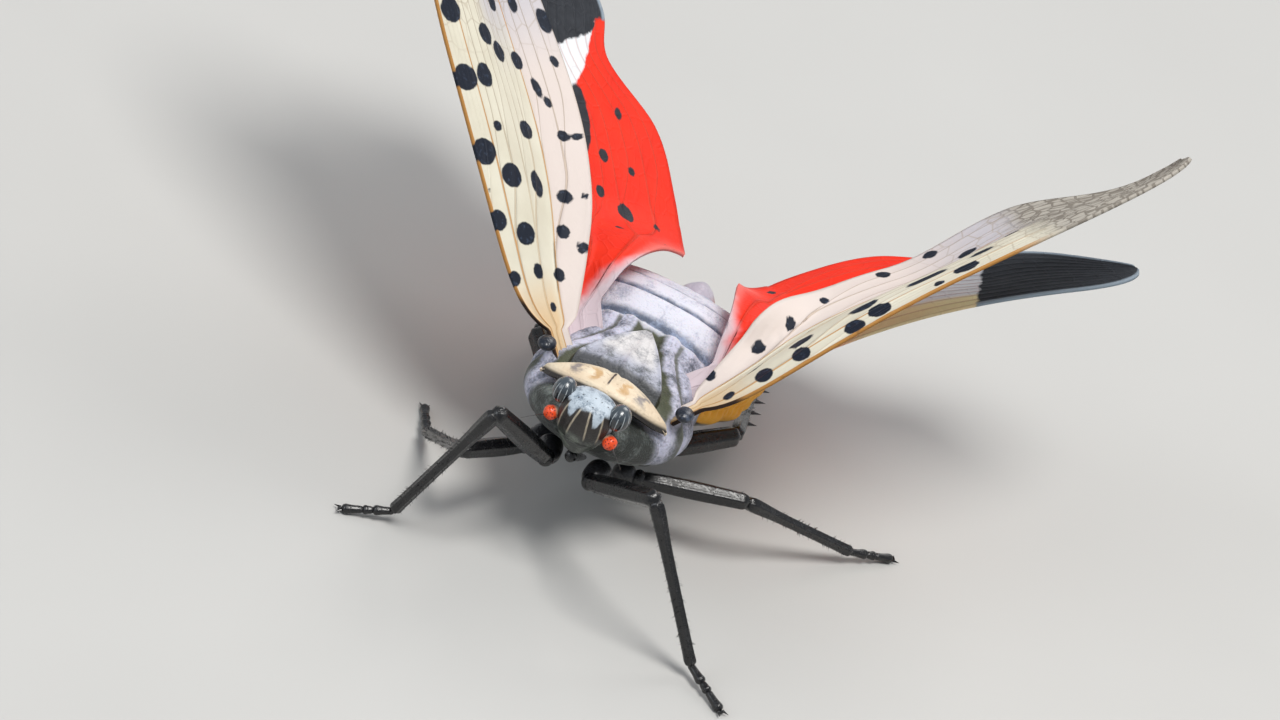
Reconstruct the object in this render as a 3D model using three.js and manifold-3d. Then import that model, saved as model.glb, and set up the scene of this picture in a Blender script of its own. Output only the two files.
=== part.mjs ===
// Spotted lanternfly, adult female, life size, standing with all four wings spread.
// Millimetres, +Z up. The insect faces -Y, its left side is +X and its feet rest on Z = 0.
import * as THREE from 'three';
import { mergeVertices } from 'three/addons/utils/BufferGeometryUtils.js';
import Module from 'manifold-3d';

const wasm = await Module();
wasm.setup();

// Clearances and stance
const GAP = 0.25;
const SMALL_GAP = 0.18;
const HEAD_HEIGHT = 7.0;
const BODY_PITCH = 7;

// Head, in the body's own frame: origin at the head's centre, +Y towards the tail
const HEAD_TOP = 0.38;
const HEAD_BOTTOM = -2.15;
// Head sections from the crown down: fraction of the height, half width, half depth, set back
const HEAD_SECTIONS = [
  [0, 0.5, 0.4, 0.2],
  [0.12, 0.96, 0.76, 0.04],
  [0.35, 1.05, 0.86, -0.02],
  [0.6, 0.92, 0.76, 0.06],
  [0.82, 0.6, 0.5, 0.2],
  [1, 0.26, 0.26, 0.38],
];
const FRONS_RIDGE = 0.07;
const EYE_OFFSET = 1.08;
const EYE_RADII = [0.42, 0.5, 0.5];
const ANTENNA_PLACE = [1.14, -0.25, -0.88];
const ANTENNA_DIRECTION = [0.75, -0.5, -0.42];
const ANTENNA_SOCKET = 0.46;
const ANTENNA_BULB = 0.27;
const ANTENNA_BULB_LENGTH = 0.62;
const BRISTLE_LENGTH = 0.8;
const BRISTLE_RADIUS = 0.05;
const BEAK_RADIUS = 0.24;
const BEAK_START = [0, 0.5, -2.45];
const BEAK_END = [0, 4.7, -4.4];

// Plates of the thorax
const PRONOTUM_HALF_WIDTH = 2.5;
const PRONOTUM_FRONT = 1.42;
const PRONOTUM_REAR = 3.25;
const PRONOTUM_CORNER = 2.8;
const PRONOTUM_LEVEL = -0.06;
const PRONOTUM_DROP = 0.9;
const PRONOTUM_CREST = 0.12;
const PRONOTUM_CORNER_LENGTH = 0.25;
const PRONOTUM_THICKNESS = 0.42;
const MESONOTUM_FRONT = 3.5;
const MESONOTUM_APEX = 6.85;
const MESONOTUM_HALF_WIDTH = 1.75;
const MESONOTUM_APEX_HALF_WIDTH = 0.16;
const MESONOTUM_LEVEL = 0.06;
const MESONOTUM_CREST = 0.22;
const MESONOTUM_DROP = 0.3;
const MESONOTUM_THICKNESS = 0.5;
const MESONOTUM_TAPER = 1.15;
const PLATE_RIDGE = 0.07;
const TEGULA_RADII = [0.4, 0.42, 0.3];
const TEGULA_PLACE = [2.76, 3.38, -0.38];

// Flesh of the body: each row is distance behind the head's centre, half width, top and bottom
const PROTHORAX = [[1.1, 1.35, -0.8, -2.3], [1.9, 2.1, -0.88, -2.72], [2.7, 2.55, -0.95, -3.0]];
const MESOTHORAX = [[2.95, 2.7, -0.78, -3.2], [4.0, 2.98, -0.42, -3.5], [5.6, 2.9, -0.45, -3.6]];
const METATHORAX = [[5.85, 2.85, -0.45, -3.6], [6.5, 2.75, -0.36, -3.5], [7.2, 2.7, -0.1, -3.4]];
const ABDOMEN = [
  [7.45, 2.8, 0.1, -3.3],
  [8.6, 3.75, 0.7, -3.65],
  [10.2, 4.3, 0.65, -3.85],
  [12.1, 4.0, -0.1, -3.75],
  [13.7, 3.0, -0.95, -3.3],
  [14.9, 1.9, -1.5, -2.9],
  [15.7, 1.0, -1.75, -2.6],
];
const OVIPOSITOR_LENGTH = 1.4;
const OVIPOSITOR_FALL = 0.45;
const ABDOMEN_SEGMENTS = 7;
const SEGMENT_STEP = 0.054;
// Rings of each segment: fraction of its length, and the share of the step that it is set in by
const SEGMENT_RINGS = [[0, 0], [0.14, 1], [0.6, 0.4]];
const SHOULDER_ROUNDNESS = 0.8;

// Forewings (tegmina): strips of each, from the front edge back, and the slope of each strip
const FOREWING_SPAN = 20.1;
const FOREWING_CHORD = 7.2;
const FOREWING_LEAD = 1.2;
const FOREWING_TIP_CENTRE = 1.6;
const FOREWING_FRONT_BULGE = 0.15;
const FOREWING_ROOT_WIDTH = 0.12;
const FOREWING_SHOULDER = 22;
const FOREWING_WIDENING = 0.58;
const FOREWING_WIDEST = 0.66;
const FOREWING_TIP_START = 0.5;
const FOREWING_VEINS = [0, 0.1, 0.25, 0.4, 0.55, 0.7, 0.86, 1];
const FOREWING_COLUMNS = 20;
const FOREWING_FOLDS = [[0, 9], [0.3, -24], [0.7, 22]];
const FOLD_ROUNDNESS = 0.04;
const FOREWING_TWIST = 20;
const TIP_FALL = 1.3;

// Hindwings: half-folded fans; each chord row is a fraction of the span, then millimetres
const HINDWING_SPAN = 17.4;
const HINDWING_VEINS = [0, 0.12, 0.3, 0.48, 0.66, 0.84, 1];
const HINDWING_COLUMNS = 16;
const HINDWING_CHORDS = [
  [0, 1.6],
  [0.08, 4.5],
  [0.16, 6.5],
  [0.26, 7.5],
  [0.4, 7.8],
  [0.55, 7.4],
  [0.68, 5.3],
  [0.8, 5.3],
  [1, 3.4],
];
const HINDWING_TIP_CENTRE = 1.5;
const HINDWING_TIP_START = 0.84;
const PLEAT = 0.16;
const WING_COLUMN_BUNCHING = 1.35;
const WING_THICKNESS = 0.5;
const TIP_THICKNESS = 0.4;
const VEIN_HALF_WIDTH = 0.14;
const VEIN_HEIGHT = 0.1;

// Attitude of each wing: root in the body's frame, then its span and chord directions on the stand
const WINGS = {
  forewing_right: {
    root: [-3.0, 3.95, -0.2], span: [-0.68, 0.41, 0.607], chord: [0.5, 0.85, 0], bow: 0.25, width: 1,
    curl: 0,
  },
  forewing_left: {
    root: [3.22, 3.95, -0.16], span: [0.574, 0.605, 0.552], chord: [-0.44, 0.862, -0.25], bow: 0.9, width: 1,
    curl: 7,
  },
  hindwing_right: {
    root: [-3.2, 5.85, -0.65], span: [-0.585, 0.672, 0.455], chord: [0.575, 0.752, -0.32], bow: -0.2, width: 1.1,
    setback: -0.3,
  },
  hindwing_left: {
    root: [3.22, 6.05, -0.9], span: [0.672, 0.644, 0.362], chord: [-0.56, 0.765, -0.33], bow: 0.4, width: 0.82,
    setback: 1.5,
  },
};
const DRAPE_START = 7.8;
const DRAPE_SLOPE = 1.3;
const DRAPE_REACH = 0.65;
const DRAPE_SOFTNESS = 0.6;
const FOREWING_LIFT = 2.2;
const HINDWING_LIFT = 1.1;

// Legs: joint centres in the stance frame
const LEGS = {
  fore_right: {
    base: [-1.0, 1.75, 3.48], hip: [-0.78, 0.7, 3.6], knee: [-2.63, -2.27, 6.35],
    ankle: [-4.7, -2.13, 0.5], toe: [-6.3, -2.95, 0], femur: 0.36, tibia: 0.25,
  },
  fore_left: {
    base: [1.0, 1.75, 3.48], hip: [0.9, 0.7, 3.55], knee: [3.62, -2.1, 6.1],
    ankle: [7.15, -2.0, 0.5], toe: [8.85, -3.1, 0], femur: 0.36, tibia: 0.25,
  },
  mid_right: {
    base: [-1.45, 3.5, 2.72], hip: [-1.95, 2.7, 2.35], knee: [-3.43, -1.07, 3.46],
    ankle: [-5.5, 3.2, 0.5], toe: [-6.2, 5.05, 0], femur: 0.34, tibia: 0.25,
  },
  mid_left: {
    base: [1.45, 3.6, 2.58], hip: [2.05, 3.7, 2.6], knee: [5.85, 5.3, 2.8],
    ankle: [9.72, 8.98, 0.5], toe: [11.1, 10.35, 0], femur: 0.34, tibia: 0.25,
  },
  hind_right: {
    base: [-1.3, 5.7, 2.28], hip: [-1.9, 6.3, 2.3], knee: [-4.1, 9.4, 2.4],
    ankle: [-3.2, 17.0, 0.5], toe: [-3.7, 19.0, 0], femur: 0.4, tibia: 0.26, spines: 5,
  },
  hind_left: {
    base: [1.3, 5.7, 2.28], hip: [1.9, 6.3, 2.3], knee: [4.1, 9.4, 2.4],
    ankle: [3.2, 17.0, 0.5], toe: [3.7, 19.0, 0], femur: 0.4, tibia: 0.26, spines: 5,
  },
};
const COXA_RADIUS = 0.5;
const LIMB_SIDES = 8;
const TARSUS_RADIUS = 0.21;
const SOLE_HEIGHT = 0.145;
const KNEE_GAP = 0.04;
const ANKLE_GAP = 0.06;
const CLAW_SPACING = 0.06;
const CLAW_RISE = 0.04;
const CLAW_SPREAD = 0.55;
const CLAW_LENGTH = 0.42;
const CLAW_RADIUS = 0.08;
const SPINE_LENGTH = 0.5;
const SPINE_RADIUS = 0.1;
const FIRST_SPINE = 0.22;
const LAST_SPINE = 0.9;

const radians = THREE.MathUtils.degToRad;
const vector = (triple) => new THREE.Vector3(...triple);

function material(color, roughness, metalness = 0) {
  return new THREE.MeshStandardMaterial({ color, roughness, metalness });
}

const MATERIALS = {
  shell: material(0x6f767c, 0.55),
  pronotum: material(0xcdb58f, 0.5),
  flesh: material(0xb9bccb, 0.7),
  abdomen: material(0xc9c6d2, 0.75),
  tip: material(0x9c3a22, 0.5),
  eye: material(0x10151f, 0.15),
  antenna: material(0xe2431c, 0.5),
  leg: material(0x14161a, 0.25),
  forewing: material(0xd8ccb6, 0.6),
  hindwing: material(0xd2281c, 0.6),
};

// Merge a geometry's shared corners and turn its faces outward
function closed(source) {
  const bare = new THREE.BufferGeometry();
  bare.setAttribute('position', source.attributes.position.clone());
  bare.setIndex(source.index ? source.index.clone() : null);
  const merged = mergeVertices(bare, 1e-4);
  const kept = [];
  const index = merged.index.array;
  for (let i = 0; i < index.length; i += 3) {
    const [a, b, c] = [index[i], index[i + 1], index[i + 2]];
    if (a !== b && b !== c && c !== a) {
      kept.push(a, b, c);
    }
  }
  if (signedVolume(merged.attributes.position, kept) < 0) {
    kept.reverse();
  }
  merged.setIndex(kept);
  return merged;
}

function signedVolume(position, index) {
  const corners = [new THREE.Vector3(), new THREE.Vector3(), new THREE.Vector3()];
  let volume = 0;
  for (let i = 0; i < index.length; i += 3) {
    corners.forEach((corner, k) => corner.fromBufferAttribute(position, index[i + k]));
    volume += corners[0].dot(corners[1].clone().cross(corners[2])) / 6;
  }
  return volume;
}

function solidOf(geometry) {
  const body = closed(geometry);
  const mesh = new wasm.Mesh({
    numProp: 3,
    vertProperties: new Float32Array(body.attributes.position.array),
    triVerts: new Uint32Array(body.index.array),
  });
  return new wasm.Manifold(mesh);
}

// The largest closed surface of a solid, as a geometry
function geometryOf(solid) {
  const largest = solid.decompose().reduce((best, piece) => (piece.volume() > best.volume() ? piece : best));
  const mesh = largest.getMesh();
  const geometry = new THREE.BufferGeometry();
  geometry.setAttribute('position', new THREE.BufferAttribute(new Float32Array(mesh.vertProperties), 3));
  geometry.setIndex([...mesh.triVerts]);
  return geometry;
}

function union(geometries) {
  return geometryOf(geometries.map(solidOf).reduce((joined, piece) => joined.add(piece)));
}

function subtract(geometry, cutters) {
  return geometryOf(cutters.map(solidOf).reduce((rest, cutter) => rest.subtract(cutter), solidOf(geometry)));
}

// Values of a table of rows at the distance y, on a smooth curve through the rows
function alongRows(rows, y) {
  const last = rows.length - 1;
  let k = 0;
  while (k < last - 1 && y > rows[k + 1][0]) {
    k += 1;
  }
  const from = rows[k];
  const to = rows[k + 1];
  const length = to[0] - from[0];
  const t = THREE.MathUtils.clamp((y - from[0]) / length, 0, 1);
  const slope = (n, column) => {
    const before = rows[Math.max(n - 1, 0)];
    const after = rows[Math.min(n + 1, last)];
    return (after[column] - before[column]) / (after[0] - before[0]);
  };
  return from.slice(1).map((start, i) => {
    const end = to[i + 1];
    const rise = slope(k, i + 1) * length;
    const fall = slope(k + 1, i + 1) * length;
    const t2 = t * t;
    const t3 = t2 * t;
    return start * (2 * t3 - 3 * t2 + 1) + rise * (t3 - 2 * t2 + t) + end * (3 * t2 - 2 * t3) + fall * (t3 - t2);
  });
}

// A closed body of rings: place(t, angle, reach) gives a point, with reach 0 at each end's centre
function loft(sides, steps, place) {
  const geometry = new THREE.CylinderGeometry(1, 1, 1, sides, steps);
  const position = geometry.attributes.position;
  for (let i = 0; i < position.count; i += 1) {
    const reach = Math.hypot(position.getX(i), position.getZ(i));
    const angle = Math.atan2(position.getX(i), position.getZ(i));
    const point = place(position.getY(i) + 0.5, angle, reach);
    position.setXYZ(i, point.x, point.y, point.z);
  }
  return closed(geometry);
}

// A closed plate: a sheet given by place(u, v), thickened evenly to both sides of it, with crests above
function slab(columns, rows, place, thickness, crest = () => 0) {
  const sheet = new THREE.PlaneGeometry(1, 1, columns, rows);
  const position = sheet.attributes.position;
  const depths = [];
  const crests = [];
  for (let i = 0; i < position.count; i += 1) {
    const u = position.getX(i) + 0.5;
    const v = 0.5 - position.getY(i);
    const point = place(u, v);
    position.setXYZ(i, point.x, point.y, point.z);
    depths.push(thickness(u, v) / 2);
    crests.push(crest(u, v));
  }
  sheet.computeVertexNormals();
  const count = position.count;
  const points = new Float32Array(count * 6);
  const point = new THREE.Vector3();
  const normal = new THREE.Vector3();
  const upward = Math.sign(sheet.attributes.normal.getZ(Math.floor(count / 2)));
  for (let i = 0; i < count; i += 1) {
    point.fromBufferAttribute(position, i);
    normal.fromBufferAttribute(sheet.attributes.normal, i);
    normal.multiplyScalar(upward);
    point.clone().addScaledVector(normal, depths[i] + crests[i]).toArray(points, i * 3);
    point.clone().addScaledVector(normal, -depths[i]).toArray(points, (count + i) * 3);
  }
  const upper = [...sheet.index.array];
  const index = [...upper];
  const edges = new Set();
  for (let i = 0; i < upper.length; i += 3) {
    const [a, b, c] = [upper[i], upper[i + 1], upper[i + 2]];
    index.push(a + count, c + count, b + count);
    [`${a} ${b}`, `${b} ${c}`, `${c} ${a}`].forEach((edge) => edges.add(edge));
  }
  for (const edge of edges) {
    const [a, b] = edge.split(' ').map(Number);
    if (!edges.has(`${b} ${a}`)) {
      index.push(b, a, a + count, b, a + count, b + count);
    }
  }
  const plate = new THREE.BufferGeometry();
  plate.setAttribute('position', new THREE.BufferAttribute(points, 3));
  plate.setIndex(index);
  return closed(plate);
}

function ellipsoid(radii, centre, sides = 12, rings = 8) {
  const geometry = new THREE.SphereGeometry(1, sides, rings);
  geometry.scale(...radii);
  geometry.translate(...centre);
  return closed(geometry);
}

// A cone from a root point along a direction
function spike(root, direction, length, radius, sides = 5) {
  const geometry = new THREE.ConeGeometry(radius, length, sides);
  geometry.translate(0, length / 2, 0);
  const turn = new THREE.Quaternion().setFromUnitVectors(new THREE.Vector3(0, 1, 0), direction.clone().normalize());
  geometry.applyQuaternion(turn);
  geometry.translate(root.x, root.y, root.z);
  return geometry;
}

// A limb piece between two points; radiusAt(t) is its half thickness, ridged sides catch the light
function limb(from, to, steps, radiusAt, bow = 0) {
  const axis = to.clone().sub(from);
  const along = axis.clone().normalize();
  const side = new THREE.Vector3().crossVectors(along, new THREE.Vector3(0, 0, 1)).normalize();
  const up = new THREE.Vector3().crossVectors(side, along);
  return loft(LIMB_SIDES, steps, (t, angle, reach) => {
    const radius = radiusAt(t) * reach;
    return from.clone()
      .addScaledVector(axis, t)
      .addScaledVector(up, Math.cos(angle) * radius + bow * Math.sin(Math.PI * t))
      .addScaledVector(side, Math.sin(angle) * radius);
  });
}

// Half thickness of a limb that swells in the middle and is rounded at both ends
function limbRadius(start, middle, end, rounding) {
  return (t) => {
    const swell = Math.sin(Math.PI * Math.min(t * 1.15, 1));
    const plain = THREE.MathUtils.lerp(start, end, t) + (middle - (start + end) / 2) * swell;
    const edge = Math.min(t, 1 - t) / rounding;
    return plain * (edge >= 1 ? 1 : Math.sqrt(0.3 + 0.7 * (1 - (1 - edge) ** 2)));
  };
}

function named(name, geometry, look) {
  const mesh = new THREE.Mesh(geometry, look);
  mesh.name = name;
  return mesh;
}

// Stretch of the body between its rows, open shouldered like a barrel
function bodyRing(rows, y, angle, reach, swell = 1) {
  const [halfWidth, top, bottom] = alongRows(rows, y);
  const middle = (top + bottom) / 2;
  const height = (top - bottom) / 2;
  const squared = (value) => Math.sign(value) * Math.abs(value) ** SHOULDER_ROUNDNESS;
  return new THREE.Vector3(
    halfWidth * squared(Math.sin(angle)) * reach * swell,
    y,
    middle + height * squared(Math.cos(angle)) * reach * swell,
  );
}

function bodyStretch(rows, sides, steps) {
  const start = rows[0][0];
  const length = rows[rows.length - 1][0] - start;
  return loft(sides, steps, (t, angle, reach) => bodyRing(rows, start + length * t, angle, reach));
}

function headGeometry() {
  const ridged = (angle) => (Math.abs(Math.sin(angle * 6)) < 0.01 && Math.cos(angle) > 0.8 ? FRONS_RIDGE : 0);
  const skull = loft(24, 9, (t, angle, reach) => {
    const [halfWidth, halfDepth, back] = alongRows(HEAD_SECTIONS, t);
    const ridge = ridged(angle) * Math.sin(Math.PI * t);
    return new THREE.Vector3(
      Math.sin(angle) * halfWidth * reach,
      back - Math.cos(angle) * (halfDepth + ridge) * reach,
      THREE.MathUtils.lerp(HEAD_TOP, HEAD_BOTTOM, t),
    );
  });
  const cutters = [];
  for (const side of [-1, 1]) {
    const socket = EYE_RADII.map((radius) => radius + SMALL_GAP);
    cutters.push(ellipsoid(socket, [side * EYE_OFFSET, 0, 0]));
    const [x, y, z] = ANTENNA_PLACE;
    cutters.push(ellipsoid([ANTENNA_SOCKET, ANTENNA_SOCKET, ANTENNA_SOCKET], [side * x, y, z], 10, 6));
  }
  return subtract(skull, cutters);
}

// Swollen second joint of the feeler with the bristle at its end
function antennaGeometry(side) {
  const profile = [new THREE.Vector2(0, 0)];
  const bulbSteps = 6;
  for (let k = 1; k < bulbSteps; k += 1) {
    const t = k / bulbSteps;
    profile.push(new THREE.Vector2(ANTENNA_BULB * Math.sin(Math.PI * t) ** 0.7, ANTENNA_BULB_LENGTH * t));
  }
  profile.push(new THREE.Vector2(BRISTLE_RADIUS, ANTENNA_BULB_LENGTH));
  profile.push(new THREE.Vector2(0, ANTENNA_BULB_LENGTH + BRISTLE_LENGTH));
  const geometry = new THREE.LatheGeometry(profile, 10);
  const direction = vector(ANTENNA_DIRECTION).normalize();
  direction.x *= side;
  geometry.applyQuaternion(new THREE.Quaternion().setFromUnitVectors(new THREE.Vector3(0, 1, 0), direction));
  const [x, y, z] = ANTENNA_PLACE;
  const root = new THREE.Vector3(side * x, y, z).addScaledVector(direction, -ANTENNA_BULB_LENGTH / 2);
  geometry.translate(root.x, root.y, root.z);
  return closed(geometry);
}

// Saddle between head and shield, with pointed corners that bend down at the sides
function pronotumGeometry() {
  const columns = 16;
  return slab(columns, 4, (u, v) => {
    const across = 2 * u - 1;
    const bulge = 1 - across * across;
    const front = THREE.MathUtils.lerp(PRONOTUM_CORNER, PRONOTUM_FRONT, bulge ** 0.75);
    const rear = THREE.MathUtils.lerp(PRONOTUM_CORNER + PRONOTUM_CORNER_LENGTH, PRONOTUM_REAR, bulge);
    return new THREE.Vector3(
      across * PRONOTUM_HALF_WIDTH,
      THREE.MathUtils.lerp(front, rear, v),
      PRONOTUM_LEVEL - PRONOTUM_DROP * across * across + PRONOTUM_CREST * Math.sin(Math.PI * v),
    );
  }, () => PRONOTUM_THICKNESS, (u) => (Math.abs(u - 0.5) < 0.5 / columns ? PLATE_RIDGE : 0));
}

// Shield-shaped plate that tapers to a point behind, with three low ridges
function mesonotumGeometry() {
  const columns = 12;
  return slab(columns, 8, (u, v) => {
    const across = 2 * u - 1;
    const taper = 1 - v ** MESONOTUM_TAPER;
    const halfWidth = THREE.MathUtils.lerp(MESONOTUM_APEX_HALF_WIDTH, MESONOTUM_HALF_WIDTH, taper);
    const crest = MESONOTUM_CREST * Math.sin(Math.PI * v * 0.8);
    const drop = MESONOTUM_DROP * (across * halfWidth / MESONOTUM_HALF_WIDTH) ** 2;
    return new THREE.Vector3(
      across * halfWidth,
      THREE.MathUtils.lerp(MESONOTUM_FRONT, MESONOTUM_APEX, v),
      MESONOTUM_LEVEL + crest - drop,
    );
  }, () => MESONOTUM_THICKNESS, (u, v) => {
    const onRidge = [0, 0.25, -0.25].some((line) => Math.abs(u - 0.5 - line) < 0.5 / columns);
    return onRidge ? PLATE_RIDGE * (1 - v) : 0;
  });
}

// Swollen abdomen; each segment's rear edge stands over the next one's front edge
function abdomenGeometry() {
  const start = ABDOMEN[0][0];
  const length = ABDOMEN[ABDOMEN.length - 1][0] - start;
  const steps = ABDOMEN_SEGMENTS * SEGMENT_RINGS.length;
  return loft(24, steps, (t, angle, reach) => {
    const step = Math.round(t * steps);
    const segment = Math.floor(step / SEGMENT_RINGS.length);
    const [fraction, inset] = SEGMENT_RINGS[step % SEGMENT_RINGS.length];
    const y = start + length * Math.min((segment + fraction) / ABDOMEN_SEGMENTS, 1);
    return bodyRing(ABDOMEN, y, angle, reach, 1 - SEGMENT_STEP * inset);
  });
}

// Stations across a wing: three for each vein, so that its crest is a ridge of the sheet
function veinStations(veins) {
  const stations = [];
  veins.forEach((vein, k) => {
    const first = k === 0;
    const last = k === veins.length - 1;
    if (!first) {
      stations.push({ vein, side: -1 });
    }
    stations.push({ vein, side: 0 });
    if (!last) {
      stations.push({ vein, side: 1 });
    }
  });
  return stations;
}

// How far the outline has closed towards its rounded tip
function tipClosing(along, start) {
  const q = Math.max(0, (along - start) / (1 - start));
  return Math.sqrt(1 - 0.97 * q * q);
}

function forewingOutline(along) {
  const shoulder = FOREWING_LEAD * (1 - Math.exp(-along * FOREWING_SHOULDER));
  const lead = -shoulder - FOREWING_FRONT_BULGE * Math.sin(Math.PI * along);
  const widening = Math.sin(Math.PI / 2 * Math.min(along / FOREWING_WIDEST, 1)) ** FOREWING_WIDENING;
  const chord = FOREWING_CHORD * THREE.MathUtils.lerp(FOREWING_ROOT_WIDTH, 1, widening);
  const closing = tipClosing(along, FOREWING_TIP_START);
  const front = THREE.MathUtils.lerp(FOREWING_TIP_CENTRE, lead, closing);
  return { span: along * FOREWING_SPAN, front, chord: chord * closing };
}

// A ramp that is zero below zero, with a rounded foot
function softRamp(x) {
  return FOLD_ROUNDNESS * Math.log(1 + Math.exp(x / FOLD_ROUNDNESS));
}

// Folds of a forewing: flat front strip, falling middle and rising rear strip, twisted outwards
function forewingRelief(along, across, chord, curl) {
  const fade = (1 - 0.75 * along ** 1.5) * THREE.MathUtils.smoothstep(along, -0.05, 0.15);
  let height = 0;
  FOREWING_FOLDS.forEach(([start, degrees], k) => {
    const end = k + 1 < FOREWING_FOLDS.length ? FOREWING_FOLDS[k + 1][0] : 1;
    height += (softRamp(across - start) - softRamp(across - end)) * Math.tan(radians(degrees));
  });
  const turn = FOREWING_TWIST * THREE.MathUtils.smoothstep(along, 0.05, 0.7);
  const opened = THREE.MathUtils.smoothstep(along, 0.45, 0.7);
  const lifted = opened - TIP_FALL * THREE.MathUtils.smoothstep(along, 0.7, 0.95);
  const twist = Math.tan(radians(turn - curl * lifted));
  return height * chord * fade - twist * across * chord;
}

function hindwingOutline(along, setback) {
  const [chord] = alongRows(HINDWING_CHORDS, along);
  const closing = tipClosing(along, HINDWING_TIP_START);
  const lead = setback * Math.sin(Math.PI * along);
  const front = THREE.MathUtils.lerp(HINDWING_TIP_CENTRE, lead, closing);
  return { span: along * HINDWING_SPAN, front, chord: chord * closing };
}

// Fan of a hindwing: shallow pleats between its veins
function hindwingRelief(along, across) {
  return PLEAT * Math.sin(across * 3 * Math.PI) * (1 - along) * Math.min(1, along * 6);
}

// Height of the abdomen's back above a point of the body's frame, or nothing beside it
function backHeight(x, y) {
  const [halfWidth, top, bottom] = alongRows(ABDOMEN, y);
  const ratio = Math.min(Math.abs(x) / (halfWidth + DRAPE_REACH), 1);
  const middle = (top + bottom) / 2 - DRAPE_SLOPE * Math.max(0, DRAPE_START - y);
  return middle + (top - (top + bottom) / 2) * (1 - ratio ** (2 / SHOULDER_ROUNDNESS)) ** (SHOULDER_ROUNDNESS / 2);
}

// Raise a point of a wing that would lie closer than a clearance over the abdomen's back
function drape(point, lift) {
  const local = point.clone().applyMatrix4(body.matrix.clone().invert());
  const floor = backHeight(local.x, local.y) + lift;
  const excess = (local.z - floor) / DRAPE_SOFTNESS;
  local.z = floor + DRAPE_SOFTNESS * (excess > 20 ? excess : Math.log(1 + Math.exp(excess)));
  return local.applyMatrix4(body.matrix);
}

// A wing: X along the span, Y from the front edge back, Z out of its upper face
function wingGeometry(name, veins, columns, outline, relief, lift) {
  const { root, span, chord, bow, width, setback, curl } = WINGS[name];
  const spanAxis = vector(span).normalize();
  const chordAxis = vector(chord);
  chordAxis.addScaledVector(spanAxis, -chordAxis.dot(spanAxis)).normalize();
  const upward = new THREE.Vector3().crossVectors(spanAxis, chordAxis);
  upward.multiplyScalar(Math.sign(upward.z));
  const origin = vector(root).applyMatrix4(body.matrix);
  const stations = veinStations(veins);
  const rows = stations.length - 1;
  return slab(columns, rows, (u, v) => {
    const along = 1 - (1 - u) ** WING_COLUMN_BUNCHING;
    const shape = outline(along, setback);
    shape.chord *= width;
    const station = stations[Math.round(v * rows)];
    const across = station.vein + station.side * VEIN_HALF_WIDTH / Math.max(shape.chord, 3);
    const point = origin.clone()
      .addScaledVector(spanAxis, shape.span)
      .addScaledVector(chordAxis, shape.front + across * shape.chord)
      .addScaledVector(upward, relief(along, across, shape.chord, curl) + bow * Math.sin(Math.PI * along));
    return drape(point, lift);
  }, (u) => THREE.MathUtils.lerp(WING_THICKNESS, TIP_THICKNESS, u ** 3), (u, v) => {
    const { side } = stations[Math.round(v * rows)];
    return side === 0 ? VEIN_HEIGHT * THREE.MathUtils.smoothstep(u, 0, 0.1) * (1 - u ** 6) : 0;
  });
}

const body = new THREE.Group();
body.position.z = HEAD_HEIGHT;
body.rotation.x = -radians(BODY_PITCH);
body.updateMatrix();

const insect = new THREE.Group();
insect.add(body);

function addHead() {
  body.add(named('head', headGeometry(), MATERIALS.shell));
  for (const [label, side] of [['right', -1], ['left', 1]]) {
    const eye = ellipsoid(EYE_RADII, [side * EYE_OFFSET, 0, 0]);
    body.add(named(`eye_${label}`, eye, MATERIALS.eye));
    body.add(named(`antenna_${label}`, antennaGeometry(side), MATERIALS.antenna));
  }
  const taper = (t) => BEAK_RADIUS * (1 - 0.45 * t) * Math.min(1, 0.6 + t * 8, 0.5 + (1 - t) * 10);
  body.add(named('beak', limb(vector(BEAK_START), vector(BEAK_END), 8, taper), MATERIALS.leg));
}

function addThorax() {
  body.add(named('pronotum', pronotumGeometry(), MATERIALS.pronotum));
  body.add(named('mesonotum', mesonotumGeometry(), MATERIALS.shell));
  body.add(named('prothorax', bodyStretch(PROTHORAX, 20, 3), MATERIALS.flesh));
  body.add(named('mesothorax', bodyStretch(MESOTHORAX, 20, 4), MATERIALS.flesh));
  body.add(named('metathorax', bodyStretch(METATHORAX, 20, 3), MATERIALS.flesh));
  for (const [label, side] of [['right', -1], ['left', 1]]) {
    const [x, y, z] = TEGULA_PLACE;
    const dome = ellipsoid(TEGULA_RADII, [side * x, y, z], 10, 6);
    body.add(named(`tegula_${label}`, dome, MATERIALS.leg));
  }
}

function addAbdomen() {
  body.add(named('abdomen', abdomenGeometry(), MATERIALS.abdomen));
  const [rear, halfWidth, top, bottom] = ABDOMEN[ABDOMEN.length - 1];
  const root = new THREE.Vector3(0, rear + GAP + SMALL_GAP, (top + bottom) / 2);
  const end = root.clone().add(new THREE.Vector3(0, OVIPOSITOR_LENGTH, -OVIPOSITOR_FALL));
  const cone = limb(root, end, 5, (t) => halfWidth * 0.72 * Math.sqrt(1 - 0.9 * t * t));
  body.add(named('ovipositor', cone, MATERIALS.tip));
}

function addWings() {
  for (const label of ['right', 'left']) {
    const forewing = wingGeometry(`forewing_${label}`, FOREWING_VEINS, FOREWING_COLUMNS,
      forewingOutline, forewingRelief, FOREWING_LIFT);
    const hindwing = wingGeometry(`hindwing_${label}`, HINDWING_VEINS, HINDWING_COLUMNS,
      hindwingOutline, hindwingRelief, HINDWING_LIFT);
    insect.add(named(`forewing_${label}`, forewing, MATERIALS.forewing));
    insect.add(named(`hindwing_${label}`, hindwing, MATERIALS.hindwing));
  }
}

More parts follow.
